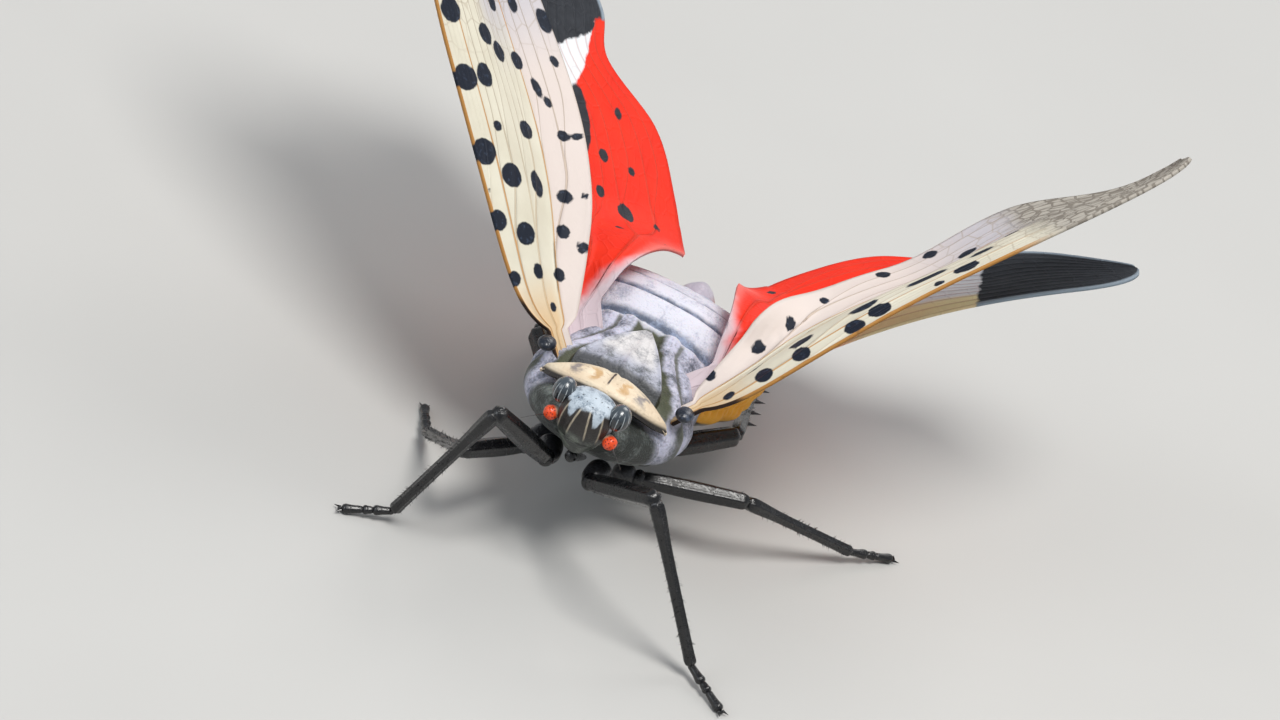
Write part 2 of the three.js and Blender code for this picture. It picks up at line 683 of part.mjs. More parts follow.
// Foot joints: a tapering tube with three swellings, a flat sole and two claws
function tarsusGeometry(ankle, toe) {
  const heading = toe.clone().sub(ankle).setZ(0).normalize();
  const across = new THREE.Vector3(-heading.y, heading.x, 0);
  const reach = toe.clone().sub(ankle).setZ(0).length();
  const foot = loft(LIMB_SIDES, 9, (t, angle, inside) => {
    const joint = 1 - 0.22 * Math.abs(Math.sin(3 * Math.PI * t));
    const radius = TARSUS_RADIUS * (1.08 - joint * 0.2) * inside * (t > 0.95 ? 0.75 : 1);
    const centre = SOLE_HEIGHT + (ankle.z - SOLE_HEIGHT - 0.1) * (1 - t) ** 5;
    const turned = angle + Math.PI / LIMB_SIDES;
    const point = ankle.clone().addScaledVector(heading, reach * t);
    point.addScaledVector(across, Math.sin(turned) * radius);
    point.z = Math.max(0, centre + Math.cos(turned) * radius);
    return point;
  });
  const pieces = [foot];
  for (const side of [-1, 1]) {
    const root = ankle.clone().addScaledVector(heading, reach * 0.9).addScaledVector(across, side * CLAW_SPACING);
    root.z = SOLE_HEIGHT + CLAW_RISE;
    const way = heading.clone().addScaledVector(across, side * CLAW_SPREAD).setZ(-0.12);
    pieces.push(spike(root, way, CLAW_LENGTH, CLAW_RADIUS));
  }
  return union(pieces);
}

// Shin with a row of outward spines where the leg has them
function tibiaGeometry(from, to, radius, spines) {
  const shin = limb(from, to, 6, limbRadius(radius * 0.85, radius * 0.95, radius * 1.12, 0.06));
  const pieces = [shin];
  const along = to.clone().sub(from).normalize();
  const outward = new THREE.Vector3(Math.sign(from.x), 0, 0.35).addScaledVector(along, 0.7).normalize();
  for (let k = 0; k < spines; k += 1) {
    const root = from.clone().lerp(to, THREE.MathUtils.lerp(FIRST_SPINE, LAST_SPINE, k / (spines - 1)));
    pieces.push(spike(root, outward, SPINE_LENGTH, SPINE_RADIUS, 6));
  }
  return union(pieces);
}

function addLeg(name, leg) {
  const [base, hip, knee, ankle, toe] = [leg.base, leg.hip, leg.knee, leg.ankle, leg.toe].map(vector);
  const towards = (from, to, distance) => from.clone().add(to.clone().sub(from).setLength(distance));
  const clearance = (before, joint, after, radius) => {
    const bend = joint.clone().sub(before).angleTo(after.clone().sub(joint));
    return GAP + radius * Math.sin(Math.min(bend, Math.PI / 2));
  };
  const coxa = limb(base, hip, 4, limbRadius(COXA_RADIUS, COXA_RADIUS * 0.95, leg.femur, 0.3));
  const femurStart = towards(hip, knee, clearance(base, hip, knee, leg.femur));
  const thigh = limbRadius(leg.femur * 0.8, leg.femur, leg.femur * 0.82, 0.08);
  const shinStart = towards(knee, ankle, clearance(hip, knee, ankle, leg.femur + KNEE_GAP));
  const shinEnd = towards(ankle, knee, ANKLE_GAP);
  const footStart = towards(ankle, toe, GAP);
  insect.add(named(`coxa_${name}`, coxa, MATERIALS.shell));
  insect.add(named(`femur_${name}`, limb(femurStart, knee, 7, thigh), MATERIALS.leg));
  insect.add(named(`tibia_${name}`, tibiaGeometry(shinStart, shinEnd, leg.tibia, leg.spines ?? 0), MATERIALS.leg));
  insect.add(named(`tarsus_${name}`, tarsusGeometry(footStart, toe), MATERIALS.leg));
}

addHead();
addThorax();
addAbdomen();
addWings();
Object.entries(LEGS).forEach(([name, leg]) => addLeg(name, leg));

// Set the middle of the insect's extent over the origin, its soles on the floor
const extent = new THREE.Box3().setFromObject(insect, true);
const middle = extent.getCenter(new THREE.Vector3());
insect.position.set(-middle.x, -middle.y, 0);

const lanternfly = new THREE.Group();
lanternfly.add(insect);

export default lanternfly;
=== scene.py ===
# Spotted lanternfly, adult female, life size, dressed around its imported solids.
# Lengths are millimetres in the stance frame unless a comment says otherwise: X towards the
# insect's left, Y towards its tail, Z up from the floor, the head's centre over the origin.
import math
import random

import bpy
import bmesh
from mathutils import Matrix, Vector


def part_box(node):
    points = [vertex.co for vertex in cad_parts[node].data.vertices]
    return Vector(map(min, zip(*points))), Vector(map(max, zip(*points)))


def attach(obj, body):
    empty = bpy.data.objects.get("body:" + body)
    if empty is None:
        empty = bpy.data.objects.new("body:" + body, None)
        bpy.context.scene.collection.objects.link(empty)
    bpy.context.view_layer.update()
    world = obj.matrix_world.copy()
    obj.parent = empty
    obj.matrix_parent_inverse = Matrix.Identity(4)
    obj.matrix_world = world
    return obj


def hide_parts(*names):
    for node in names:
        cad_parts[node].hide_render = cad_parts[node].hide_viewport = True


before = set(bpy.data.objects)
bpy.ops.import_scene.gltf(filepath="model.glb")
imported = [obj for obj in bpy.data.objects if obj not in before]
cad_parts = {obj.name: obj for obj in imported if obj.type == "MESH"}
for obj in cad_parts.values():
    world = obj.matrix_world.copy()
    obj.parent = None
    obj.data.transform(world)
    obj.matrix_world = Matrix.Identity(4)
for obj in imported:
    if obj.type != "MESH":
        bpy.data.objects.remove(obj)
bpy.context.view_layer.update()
bpy.ops.object.select_all(action="DESELECT")

MM = 0.001
SIDES = {"right": -1, "left": 1}

# Stance
HEAD_HEIGHT = 7.0
BODY_PITCH = math.radians(7)

# Camera: height above the horizon, turn to the insect's side, roll, distance and aim point
CAMERA_ELEVATION = math.radians(33)
CAMERA_TURN = math.radians(7)
CAMERA_ROLL = math.radians(23.7)
CAMERA_DISTANCE = 223.0
CAMERA_LENS = 180.0
CAMERA_SENSOR = 36.0
FRAME_WIDTH = 1280
FRAME_HEIGHT = 720
HEAD_PIXEL = (592, 404)

# Body sections: distance behind the head's centre, half width, top and bottom
BODY = [
    (0.75, 1.15, -0.7, -2.1), (1.1, 1.5, -0.8, -2.35), (1.9, 2.15, -0.86, -2.75), (2.7, 2.58, -0.88, -3.02),
    (4.0, 2.98, -0.42, -3.5), (5.6, 2.9, -0.42, -3.6), (6.5, 2.78, -0.3, -3.52), (7.3, 2.85, 0.0, -3.38),
    (8.6, 3.75, 0.7, -3.65), (10.2, 4.3, 0.65, -3.85), (12.1, 4.0, -0.1, -3.75), (13.7, 3.0, -0.95, -3.3),
    (14.9, 1.9, -1.5, -2.9), (15.7, 1.0, -1.75, -2.6),
]
SHOULDER_ROUNDNESS = 0.8
THORAX_SEAMS = (2.82, 5.72, 7.32)
ABDOMEN_START = 7.45
ABDOMEN_END = 15.7
ABDOMEN_SEGMENTS = 7
# Where the egg-laying tip behind the last segment starts and ends, in the body's frame
TAIL_START = (0, ABDOMEN_END - 0.5, -2.15)
TAIL_END = (0, ABDOMEN_END + 1.83, -2.6)
# Bulges of the thorax's sides: height as a share of the width, place, length
SIDE_LOBES = [(0.06, 3.5, 0.45), (0.07, 4.75, 0.6), (0.05, 6.35, 0.4)]
# Share of the skin's length that each rounded end takes, and how far the end stands out
SKIN_CAP = 0.035
SKIN_CAP_REACH = 0.25

# What the wings are draped over: the abdomen's sections, how the drape falls in front of them, how far it
# reaches beside them, and how high each pair of wings lies over it
BACK = [(7.45, 2.8, 0.1, -3.3)] + BODY[8:]
DRAPE_START = 7.8
DRAPE_SLOPE = 1.3
DRAPE_REACH = 0.65
DRAPE_SOFTNESS = 0.6
BACK_ROUNDNESS = 2.5
FOREWING_LIFT = 2.2
HINDWING_LIFT = 1.1

# Head, in the body's frame; its sections are place from top to bottom, half width, half depth, place behind
EYE_OFFSET = 1.08
EYE_RADII = (0.42, 0.5, 0.5)
HEAD_TOP = 0.38
HEAD_BOTTOM = -2.15
HEAD_SECTIONS = [
    (0, 0.5, 0.4, 0.2), (0.12, 0.96, 0.76, 0.04), (0.35, 1.05, 0.86, -0.02),
    (0.6, 0.92, 0.76, 0.06), (0.82, 0.6, 0.5, 0.2), (1, 0.26, 0.26, 0.38),
]
CARINA_WIDTH = 0.06
ANTENNA_PLACE = (1.14, -0.25, -0.88)
ANTENNA_DIRECTION = (0.75, -0.5, -0.42)
ANTENNA_LENGTH = 0.62
ANTENNA_SUNK = 0.4
BRISTLE_LENGTH = 0.8
BEAK_START = (0, 0.5, -2.45)
BEAK_END = (0, 4.7, -4.4)
BEAK_JOINT = 0.52

# Radii of long pieces: place along the piece, radius
BULB_RADII = [(0, 0.16), (0.25, 0.22), (0.6, 0.27), (0.85, 0.24), (1, 0.12)]
BRISTLE_RADII = [(0, 0.05), (0.12, 0.045), (0.2, 0.016), (1, 0.006)]
SCAPE_RADII = [(0, 0.15), (0.5, 0.17), (1, 0.15)]
BEAK_UPPER_RADII = [(0, 0.24), (0.3, 0.2), (0.8, 0.16), (1, 0.17)]
BEAK_LOWER_RADII = [(0, 0.15), (0.6, 0.12), (1, 0.08)]
TAIL_RADII = [(0, 0.75), (0.35, 0.74), (0.7, 0.58), (1, 0.2)]
COXA_RADII = [(0, 0.5), (0.6, 0.45), (1, 0.36)]
TROCHANTER_RADII = [(0, 0.26), (0.5, 0.33), (1, 0.27)]
FOOT_RADII = [(0, 0.13), (0.5, 0.15), (0.85, 0.19), (1, 0.16)]
PAD_RADII = [(0, 0.09), (0.5, 0.12), (1, 0.1)]
# Radii of a femur and a tibia as shares of the leg's own radius
FEMUR_SHAPE = [(0.1, 0.85), (0.45, 1), (0.85, 0.92), (1, 0.9)]
TIBIA_SHAPE = [(0, 1), (0.08, 1.08), (0.3, 0.85), (0.9, 0.82), (1, 0.9)]

# Plates of the thorax
PRONOTUM_HALF_WIDTH = 2.5
PRONOTUM_FRONT = 1.42
PRONOTUM_REAR = 3.25
PRONOTUM_CORNER = 2.8
PRONOTUM_LEVEL = -0.06
PRONOTUM_DROP = 0.9
MESONOTUM_FRONT = 3.36
MESONOTUM_HIDDEN_FRONT = 2.95
MESONOTUM_APEX = 6.85
MESONOTUM_HALF_WIDTH = 1.78
MESONOTUM_APEX_HALF_WIDTH = 0.1
MESONOTUM_TAPER = 1.15
TEGULA_RADII = (0.34, 0.45, 0.24)
TEGULA_PLACE = (2.76, 3.38, -0.38)
PLATE_THICKNESS = 0.5
# Share of a plate's thickness that its edge keeps, and how far in it reaches the whole of it
PLATE_EDGE = 0.2
PLATE_EDGE_WIDTH = 0.3
PLATE_CREASE = math.radians(50)

# Wings
FOREWING_SPAN = 20.1
FOREWING_CHORD = 7.2
HINDWING_SPAN = 17.4
HINDWING_CHORDS = [(0, 1.6), (0.08, 4.5), (0.16, 6.5), (0.26, 7.5), (0.4, 7.8), (0.55, 7.4), (0.68, 5.3),
                   (0.8, 5.3), (1, 3.4)]
FOREWING_FOLDS = [(0, 9), (0.3, -24), (0.7, 22)]
FOLD_SOFTNESS = 0.04
# Forewing outline: share of the chord that the root has, the front edge's step at the shoulder and how
# quickly it comes, the edge's bow, and where and how quickly the whole width is reached
FOREWING_ROOT_WIDTH = 0.12
FOREWING_STEP = 1.2
FOREWING_SHOULDER = 22
FOREWING_FRONT_BOW = 0.15
FOREWING_WIDEST = 0.66
FOREWING_WIDENING = 0.58
# Where a wing starts to round off, and the place across of its tip
FOREWING_TIP_START = 0.5
FOREWING_TIP_CENTRE = 1.6
HINDWING_TIP_START = 0.84
HINDWING_TIP_CENTRE = 1.5
TIP_ROUNDING = 0.97
# Twist of a forewing in degrees, and how far its curl falls again at the tip
FOREWING_TWIST = 20
TIP_FALL = 1.3
HINDWING_PLEAT = 0.16
# Places across the chord of the veins that come from the root
FOREWING_BUNDLES = (0, 0.145, 0.38, 0.66, 1)
HINDWING_BUNDLES = (0, 0.3, 0.62, 1)
MAIN_VEINS = (4, 12)
# Half thickness of a wing at its veins, the share of it between them, and how wide and how much veins,
# edges and main veins stand out
MEMBRANE = 0.07
MEMBRANE_SHARE = 0.4
WING_RIDGES = {"near": (0.05, 0.35), "edge": (0.09, 0.5), "main": (0.08, 0.5)}
# Wing meshes: start inside the body as a share of the span, columns between two veins, rows
WING_START = -0.06
VEIN_COLUMNS = 6
FOREWING_ROWS = 190
HINDWING_ROWS = 150
ROW_CROWDING = 1.25
# Wings: root in the body's frame, directions of span and chord, height of the bow, share of the chord, how
# far back the front edge's middle is set, and how many degrees the outer part curls
WINGS = {
    "forewing_right": dict(root=(-3.0, 3.95, -0.2), span=(-0.68, 0.41, 0.607), chord=(0.5, 0.85, 0),
                           bow=0.25, width=1, setback=0, curl=0),
    "forewing_left": dict(root=(3.22, 3.95, -0.16), span=(0.574, 0.605, 0.552), chord=(-0.44, 0.862, -0.25),
                          bow=0.9, width=1, setback=0, curl=7),
    "hindwing_right": dict(root=(-3.2, 5.85, -0.65), span=(-0.585, 0.672, 0.455), chord=(0.575, 0.752, -0.32),
                           bow=-0.2, width=1.1, setback=-0.3, curl=0),
    "hindwing_left": dict(root=(3.22, 6.05, -0.9), span=(0.672, 0.644, 0.362), chord=(-0.56, 0.765, -0.33),
                          bow=0.4, width=0.82, setback=1.5, curl=0),
}

# Dark spots of the forewings: place along the span, place across, half length, half width
SPOTS_RIGHT = [
    (2.0, -1.0, 0.28, 0.27), (4.15, -1.08, 0.38, 0.38), (5.25, -1.15, 0.08, 0.08), (6.65, -0.92, 0.5, 0.52),
    (9.4, -0.85, 0.5, 0.6), (11.9, -0.6, 0.48, 0.55), (9.4, 0.2, 0.46, 0.4), (7.5, 0.06, 0.2, 0.2),
    (5.65, 0.05, 0.46, 0.48), (3.5, -0.02, 0.44, 0.44), (2.12, 0.15, 0.3, 0.26), (10.95, 1.15, 0.42, 0.44),
    (10.3, 1.85, 0.42, 0.42), (10.0, 3.2, 0.36, 0.38), (8.9, 3.75, 0.4, 0.2), (7.3, 1.95, 0.36, 0.48),
    (5.25, 1.52, 0.52, 0.38), (12.3, 2.7, 0.4, 0.35), (12.2, 4.2, 0.35, 0.25), (11.4, 5.5, 0.5, 0.35),
    (9.8, 5.1, 0.24, 0.2), (8.3, 3.95, 0.24, 0.14), (6.9, 3.9, 0.24, 0.22), (6.8, 4.45, 0.14, 0.3),
    (4.65, 2.84, 0.28, 0.32), (4.5, 3.6, 0.16, 0.15), (3.4, 2.22, 0.28, 0.28), (2.64, 2.65, 0.28, 0.22),
    (1.88, 1.35, 0.28, 0.28), (0.78, 0.5, 0.18, 0.16), (13.8, -0.3, 0.4, 0.3), (13.5, 1.6, 0.42, 0.26),
]
SPOTS_LEFT = [
    (1.0, -0.3, 0.24, 0.24), (2.4, -0.5, 0.34, 0.4), (3.9, -0.62, 0.36, 0.42), (6.0, -0.85, 0.4, 0.45),
    (7.1, -0.6, 0.44, 0.5), (9.4, -0.85, 0.2, 0.22), (10.6, -0.55, 0.5, 0.4), (2.2, 0.35, 0.42, 0.1),
    (4.2, 0.2, 0.5, 0.26), (6.75, 0.3, 0.6, 0.3), (9.3, 0.3, 0.8, 0.24), (11.5, 0.4, 0.5, 0.15),
    (13.0, 1.4, 0.3, 0.2), (5.2, 1.7, 0.4, 0.22), (0.9, 1.75, 0.24, 0.22), (3.0, 2.3, 0.3, 0.24),
    (4.4, 2.9, 0.27, 0.24), (8.8, 4.9, 0.26, 0.3), (10.8, 5.3, 0.3, 0.3), (7.9, 2.9, 0.3, 0.2),
    (9.3, 3.3, 0.36, 0.24), (11.8, 3.9, 0.4, 0.26), (6.2, 3.9, 0.2, 0.2), (13.6, 2.6, 0.4, 0.22),
]
# Dark spots of the hindwings, seen through their red base
SPOTS_HIND = [
    (7.7, 4.6, 0.28, 0.26), (7.3, 5.95, 0.2, 0.18), (6.1, 4.1, 0.26, 0.24), (5.3, 5.15, 0.52, 0.36),
    (9.6, 5.7, 0.24, 0.2), (4.9, 2.6, 0.34, 0.28), (6.6, 2.5, 0.28, 0.24), (3.6, 4.0, 0.26, 0.24),
    (8.2, 3.3, 0.42, 0.22), (9.0, 3.6, 1.35, 0.5), (3.2, 6.0, 0.2, 0.18), (4.9, 6.6, 0.22, 0.2),
]
# White wedge of a hindwing: where its inner side starts at the front edge and how it slopes, before and
# after a bend, then the same for its outer side, and where the black ends behind the wedge
WHITE_START = 5.5
WHITE_START_SLOPE = 1.35
WHITE_BEND = 4.0
WHITE_OUTER_SLOPE = 2.2
WHITE_END = 10.35
WHITE_END_SLOPE = 0.5
WHITE_OVERLAP = 0.4
HIND_REAR_DARK = 12.9
HIND_REAR_SLOPE = 0.1

# Legs: centres of the joints, radii of femur and tibia, number of spines on the tibia
LEGS = {
    "fore_right": dict(base=(-1.0, 1.75, 3.48), hip=(-0.78, 0.7, 3.6), knee=(-2.63, -2.27, 6.35),
                       ankle=(-4.7, -2.13, 0.5), toe=(-6.3, -2.95, 0), femur=0.36, tibia=0.25, spines=0),
    "fore_left": dict(base=(1.0, 1.75, 3.48), hip=(0.9, 0.7, 3.55), knee=(3.62, -2.1, 6.1),
                      ankle=(7.15, -2.0, 0.5), toe=(8.85, -3.1, 0), femur=0.36, tibia=0.25, spines=0),
    "mid_right": dict(base=(-1.45, 3.5, 2.72), hip=(-1.95, 2.7, 2.35), knee=(-3.43, -1.07, 3.46),
                      ankle=(-5.5, 3.2, 0.5), toe=(-6.2, 5.05, 0), femur=0.34, tibia=0.25, spines=0),
    "mid_left": dict(base=(1.45, 3.6, 2.58), hip=(2.05, 3.7, 2.6), knee=(5.85, 5.3, 2.8),
                     ankle=(9.72, 8.98, 0.5), toe=(11.1, 10.35, 0), femur=0.34, tibia=0.25, spines=0),
    "hind_right": dict(base=(-1.3, 5.7, 2.28), hip=(-1.9, 6.3, 2.3), knee=(-4.1, 9.4, 2.4),
                       ankle=(-3.2, 17.0, 0.5), toe=(-3.7, 19.0, 0), femur=0.4, tibia=0.26, spines=5),
    "hind_left": dict(base=(1.3, 5.7, 2.28), hip=(1.9, 6.3, 2.3), knee=(4.1, 9.4, 2.4),
                      ankle=(3.2, 17.0, 0.5), toe=(3.7, 19.0, 0), femur=0.4, tibia=0.26, spines=5),
}
SOLE_HEIGHT = 0.145
HIP_RADIUS = 0.22
# How far a leg's pieces reach past the joints, so that each is sunk into the next
COXA_SUNK = 0.3
TROCHANTER_REACH = (0.22, 0.4)
KNEE_REACH = 0.12
FOOT_SUNK = 0.08
FOOT_JOINTS = (0, 0.4, 0.6, 1)
PAD_LENGTH = 0.12
# Claws, spurs and spines: length, radius
CLAW_SIZE = (0.28, 0.06)
CLAW_SPACING = 0.09
CLAW_SPREAD = 0.5
CLAW_DROP = 0.1
CROWN_SIZE = (0.28, 0.05)
CROWN_TURNS = (0.4, 1.2, 2.0, 2.8)
SPINE_SIZE = (0.48, 0.1)
SPINE_PLACES = (0.22, 0.9)
# Hairs: number, radius, lengths, lean towards the foot, and how deep and how low on a leg they stand
HAIRS_PER_MM = 26
HAIR_RADIUS = 0.013
FEMUR_HAIR = 0.12
TIBIA_HAIR = 0.16
HAIR_LEAN = 0.55
HAIR_RING = 0.85
HAIR_SUNK = 0.92
HAIRLESS_BELOW = 0.2

# Finish that all materials share
COAT_ROUGHNESS = 0.25
SOFT_RADIUS = (0.0004, 0.0002, 0.0001)
SOFT_SCALE = 0.5

# Studio, in metres and watts
FLOOR_SIZE = 1.2
SKY_COLOUR = (0.86, 0.9, 0.95, 1)
SKY_STRENGTH = 0.45
LAMP_AIM = (0, 0, 0.008)
LAMPS = {
    "key": dict(place=(0.06, -0.06, 0.3), size=0.14, power=0.8, colour=(1.0, 0.98, 0.95)),
    "fill": dict(place=(-0.2, -0.16, 0.16), size=0.16, power=0.2, colour=(0.9, 0.95, 1.0)),
    "rim": dict(place=(0.05, 0.22, 0.2), size=0.16, power=0.25, colour=(1.0, 0.98, 0.96)),
}
CAMERA_NEAR = 0.01


# Frames and small functions

def eye_centre(label):
    low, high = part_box("eye_" + label)
    return (Vector(low) + Vector(high)) / 2


HEAD = (eye_centre("right") + eye_centre("left")) / 2


def stance(point):
    """A point in stance millimetres as a point of the row frame in metres."""
    return Vector((HEAD.x + point[0] * MM, HEAD.y + point[1] * MM, point[2] * MM))


def on_body(x, y, z):
    """A point of the pitched body's own frame, whose origin is the head's centre, in the stance frame."""
    c, s = math.cos(BODY_PITCH), math.sin(BODY_PITCH)
    return Vector((x, y * c + z * s, HEAD_HEIGHT - y * s + z * c))


def in_body(point):
    c, s = math.cos(BODY_PITCH), math.sin(BODY_PITCH)
    y, z = point[1], point[2] - HEAD_HEIGHT
    return Vector((point[0], y * c - z * s, y * s + z * c))


def lerp(a, b, t):
    return a + (b - a) * t


def clamp(value, low=0.0, high=1.0):
    return min(max(value, low), high)


def smoothstep(value, low, high):
    t = clamp((value - low) / (high - low))
    return t * t * (3 - 2 * t)


def bump(value, centre, width):
    """A smooth hill of height one."""
    return math.exp(-((value - centre) / width) ** 2)


def along_rows(rows, y):
    """Values of a table of rows at the distance y, on a smooth curve through the rows."""
    last = len(rows) - 1
    k = 0
    while k < last - 1 and y > rows[k + 1][0]:
        k += 1
    start, end = rows[k], rows[k + 1]
    length = end[0] - start[0]
    t = clamp((y - start[0]) / length)

    def slope(n, column):
        before, after = rows[max(n - 1, 0)], rows[min(n + 1, last)]
        return (after[column] - before[column]) / (after[0] - before[0])

    values = []
    for column in range(1, len(start)):
        rise = slope(k, column) * length
        fall = slope(k + 1, column) * length
        values.append(start[column] * (2 * t**3 - 3 * t**2 + 1) + rise * (t**3 - 2 * t**2 + t)
                      + end[column] * (3 * t**2 - 2 * t**3) + fall * (t**3 - t**2))
    return values


# Making pieces

def edit(operator, **settings):
    """Run an edit-mode operator on the whole active mesh."""
    bpy.ops.object.mode_set(mode="EDIT")
    bpy.ops.mesh.select_all(action="SELECT")
    operator(**settings)
    bpy.ops.object.mode_set(mode="OBJECT")


def settle(piece, name):
    """Name a new piece, turn its faces outwards and smooth its shading."""
    piece.name = name
    piece.data.name = name
    edit(bpy.ops.mesh.normals_make_consistent, inside=False)
    bpy.ops.object.shade_smooth()
    return piece


def store_fields(piece, values):
    """Named point values of a mesh, one dictionary for each vertex."""
    for key in values[0] if values else ():
        field = piece.data.attributes.new(key, "FLOAT", "POINT")
        field.data.foreach_set("value", [row[key] for row in values])


def read_field(piece, name):
    values = [0.0] * len(piece.data.vertices)
    piece.data.attributes[name].data.foreach_get("value", values)
    return values


def loft(name, sides, rings, place):
    """A closed form from a sphere: place(t, angle) gives its surface, t running from pole to pole.

    place returns a point, or a point and a dictionary of values to keep there."""
    bpy.ops.object.select_all(action="DESELECT")
    bpy.ops.mesh.primitive_uv_sphere_add(segments=sides, ring_count=rings, radius=1)
    piece = bpy.context.object
    values = []
    for vertex in piece.data.vertices:
        t = math.acos(clamp(vertex.co.z, -1, 1)) / math.pi
        made = place(t, math.atan2(vertex.co.x, vertex.co.y))
        if isinstance(made, tuple):
            made, kept = made
            values.append(kept)
        vertex.co = stance(made)
    store_fields(piece, values)
    return settle(piece, name)


def sheet_grid(name, columns, rows, place, fields):
    """A sheet from a grid: place(u, v) is its middle surface; fields(u, v) gives named point values."""
    bpy.ops.object.select_all(action="DESELECT")
    bpy.ops.mesh.primitive_grid_add(x_subdivisions=columns, y_subdivisions=rows, size=1)
    piece = bpy.context.object
    mesh = piece.data
    places = [(vertex.co.x + 0.5, vertex.co.y + 0.5) for vertex in mesh.vertices]
    store_fields(piece, [fields(u, v) for u, v in places])
    for vertex, (u, v) in zip(mesh.vertices, places):
        vertex.co = stance(place(u, v))
    piece.name = name
    mesh.name = name
    bpy.ops.object.shade_smooth()
    return piece


def join(name, pieces):
    """Several pieces as one mesh object."""
    bpy.ops.object.select_all(action="DESELECT")
    for piece in pieces:
        piece.select_set(True)
    bpy.context.view_layer.objects.active = pieces[0]
    bpy.ops.object.join()
    pieces[0].name = name
    pieces[0].data.name = name
    return pieces[0]


def dress(piece, material, slot, *nodes):
    """Finish a piece: its material, the body it rides on and the solids it stands for."""
    piece.data.materials.clear()
    piece.data.materials.append(material)
    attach(piece, "root")
    if nodes:
        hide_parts(*nodes)
    return piece


def give_wall(piece, thickness, shares, offset=0):
    """Give a sheet a closed wall, of which each of its points has its own share."""
    group = piece.vertex_groups.new(name="wall")
    for k, share in enumerate(shares):
        group.add([k], share, "REPLACE")
    bpy.context.view_layer.objects.active = piece
    wall = piece.modifiers.new("wall", "SOLIDIFY")
    wall.thickness = thickness * MM
    wall.offset = offset
    wall.use_rim = True
    wall.vertex_group = "wall"
    bpy.ops.object.modifier_apply(modifier=wall.name)
    piece.vertex_groups.clear()
    edit(bpy.ops.mesh.normals_make_consistent, inside=False)


def plate(name, columns, rows, place, rim):
    """A shell plate with a thin rounded edge, whose underside is sunk into the skin."""
    piece = sheet_grid(name, columns, rows, place,
                       lambda u, v: {"across": 2 * u - 1, "along": v, "rim": rim(u, v)})
    shares = [lerp(PLATE_EDGE, 1, smoothstep(distance, 0, PLATE_EDGE_WIDTH))
              for distance in read_field(piece, "rim")]
    give_wall(piece, PLATE_THICKNESS, shares, -1 if piece.data.polygons[0].normal.z > 0 else 1)
    bpy.ops.object.shade_smooth_by_angle(angle=PLATE_CREASE)
    return piece


def spikes(name, roots, sides):
    """Small tapered hairs or spines as one mesh: each is a root, a direction, a length and a radius."""
    mesh = bpy.data.meshes.new(name)
    form = bmesh.new()
    for root, direction, length, radius in roots:
        way = direction.normalized()
        across = way.orthogonal().normalized()
        other = way.cross(across)
        ring = [form.verts.new(stance(root + (across * math.cos(turn) + other * math.sin(turn)) * radius))
                for turn in (2 * math.pi * k / sides for k in range(sides))]
        tip = form.verts.new(stance(root + way * length))
        form.faces.new(list(reversed(ring)))
        for k in range(sides):
            form.faces.new((ring[k], ring[(k + 1) % sides], tip))
    form.to_mesh(mesh)
    form.free()
    piece = bpy.data.objects.new(name, mesh)
    bpy.context.collection.objects.link(piece)
    return piece


# Wings

def rounded_ramp(x):
    """Nothing before zero and a straight climb after it, with a rounded corner."""
    return FOLD_SOFTNESS * math.log(1 + math.exp(x / FOLD_SOFTNESS)) if x < 2 else x


def closing(a, start):
    """How much of its width a wing keeps as its tip rounds off."""
    q = max(0.0, (a - start) / (1 - start))
    return math.sqrt(max(0.0, 1 - TIP_ROUNDING * q * q))


def forewing_outline(a, wing):
    """Place across of the front edge, and the chord."""
    step = 1 - math.exp(-FOREWING_SHOULDER * max(a, 0))
    lead = -FOREWING_STEP * step - FOREWING_FRONT_BOW * math.sin(math.pi * max(a, 0))
    widening = math.sin(math.pi / 2 * clamp(a / FOREWING_WIDEST)) ** FOREWING_WIDENING
    keep = closing(a, FOREWING_TIP_START)
    chord = FOREWING_CHORD * lerp(FOREWING_ROOT_WIDTH, 1, widening)
    return lerp(FOREWING_TIP_CENTRE, lead, keep), chord * keep


def hindwing_outline(a, wing):
    """Place across of the front edge, and the chord."""
    chord = along_rows(HINDWING_CHORDS, clamp(a))[0]
    keep = closing(a, HINDWING_TIP_START)
    lead = wing["setback"] * math.sin(math.pi * clamp(a))
    return lerp(HINDWING_TIP_CENTRE, lead, keep), chord * keep


def forewing_relief(a, x, chord, curl):
    """Height over the flat wing: long folds, and a twist that curls its outer part."""
    fade = (1 - 0.75 * clamp(a) ** 1.5) * smoothstep(a, -0.05, 0.15)
    ends = [fold[0] for fold in FOREWING_FOLDS[1:]] + [1]
    height = sum((rounded_ramp(x - start) - rounded_ramp(x - end)) * math.tan(math.radians(slope))
                 for (start, slope), end in zip(FOREWING_FOLDS, ends))
    lifted = smoothstep(a, 0.45, 0.7) - TIP_FALL * smoothstep(a, 0.7, 0.95)
    twist = math.tan(math.radians(FOREWING_TWIST * smoothstep(a, 0.05, 0.7) - curl * lifted))
    return height * chord * fade - twist * x * chord


def hindwing_relief(a, x, chord, curl):
    """Height over the flat wing: pleats that fade towards the tip."""
    return HINDWING_PLEAT * math.sin(3 * math.pi * x) * (1 - a) * clamp(6 * a)


def back_height(x, y):
    """Top of the back below the wings, in the body's frame."""
    width, top, bottom = along_rows(BACK, y)
    ratio = min(abs(x) / (width + DRAPE_REACH), 1)
    middle = (top + bottom) / 2
    arch = (1 - ratio ** BACK_ROUNDNESS) ** (1 / BACK_ROUNDNESS)
    return middle - DRAPE_SLOPE * max(0, DRAPE_START - y) + (top - middle) * arch


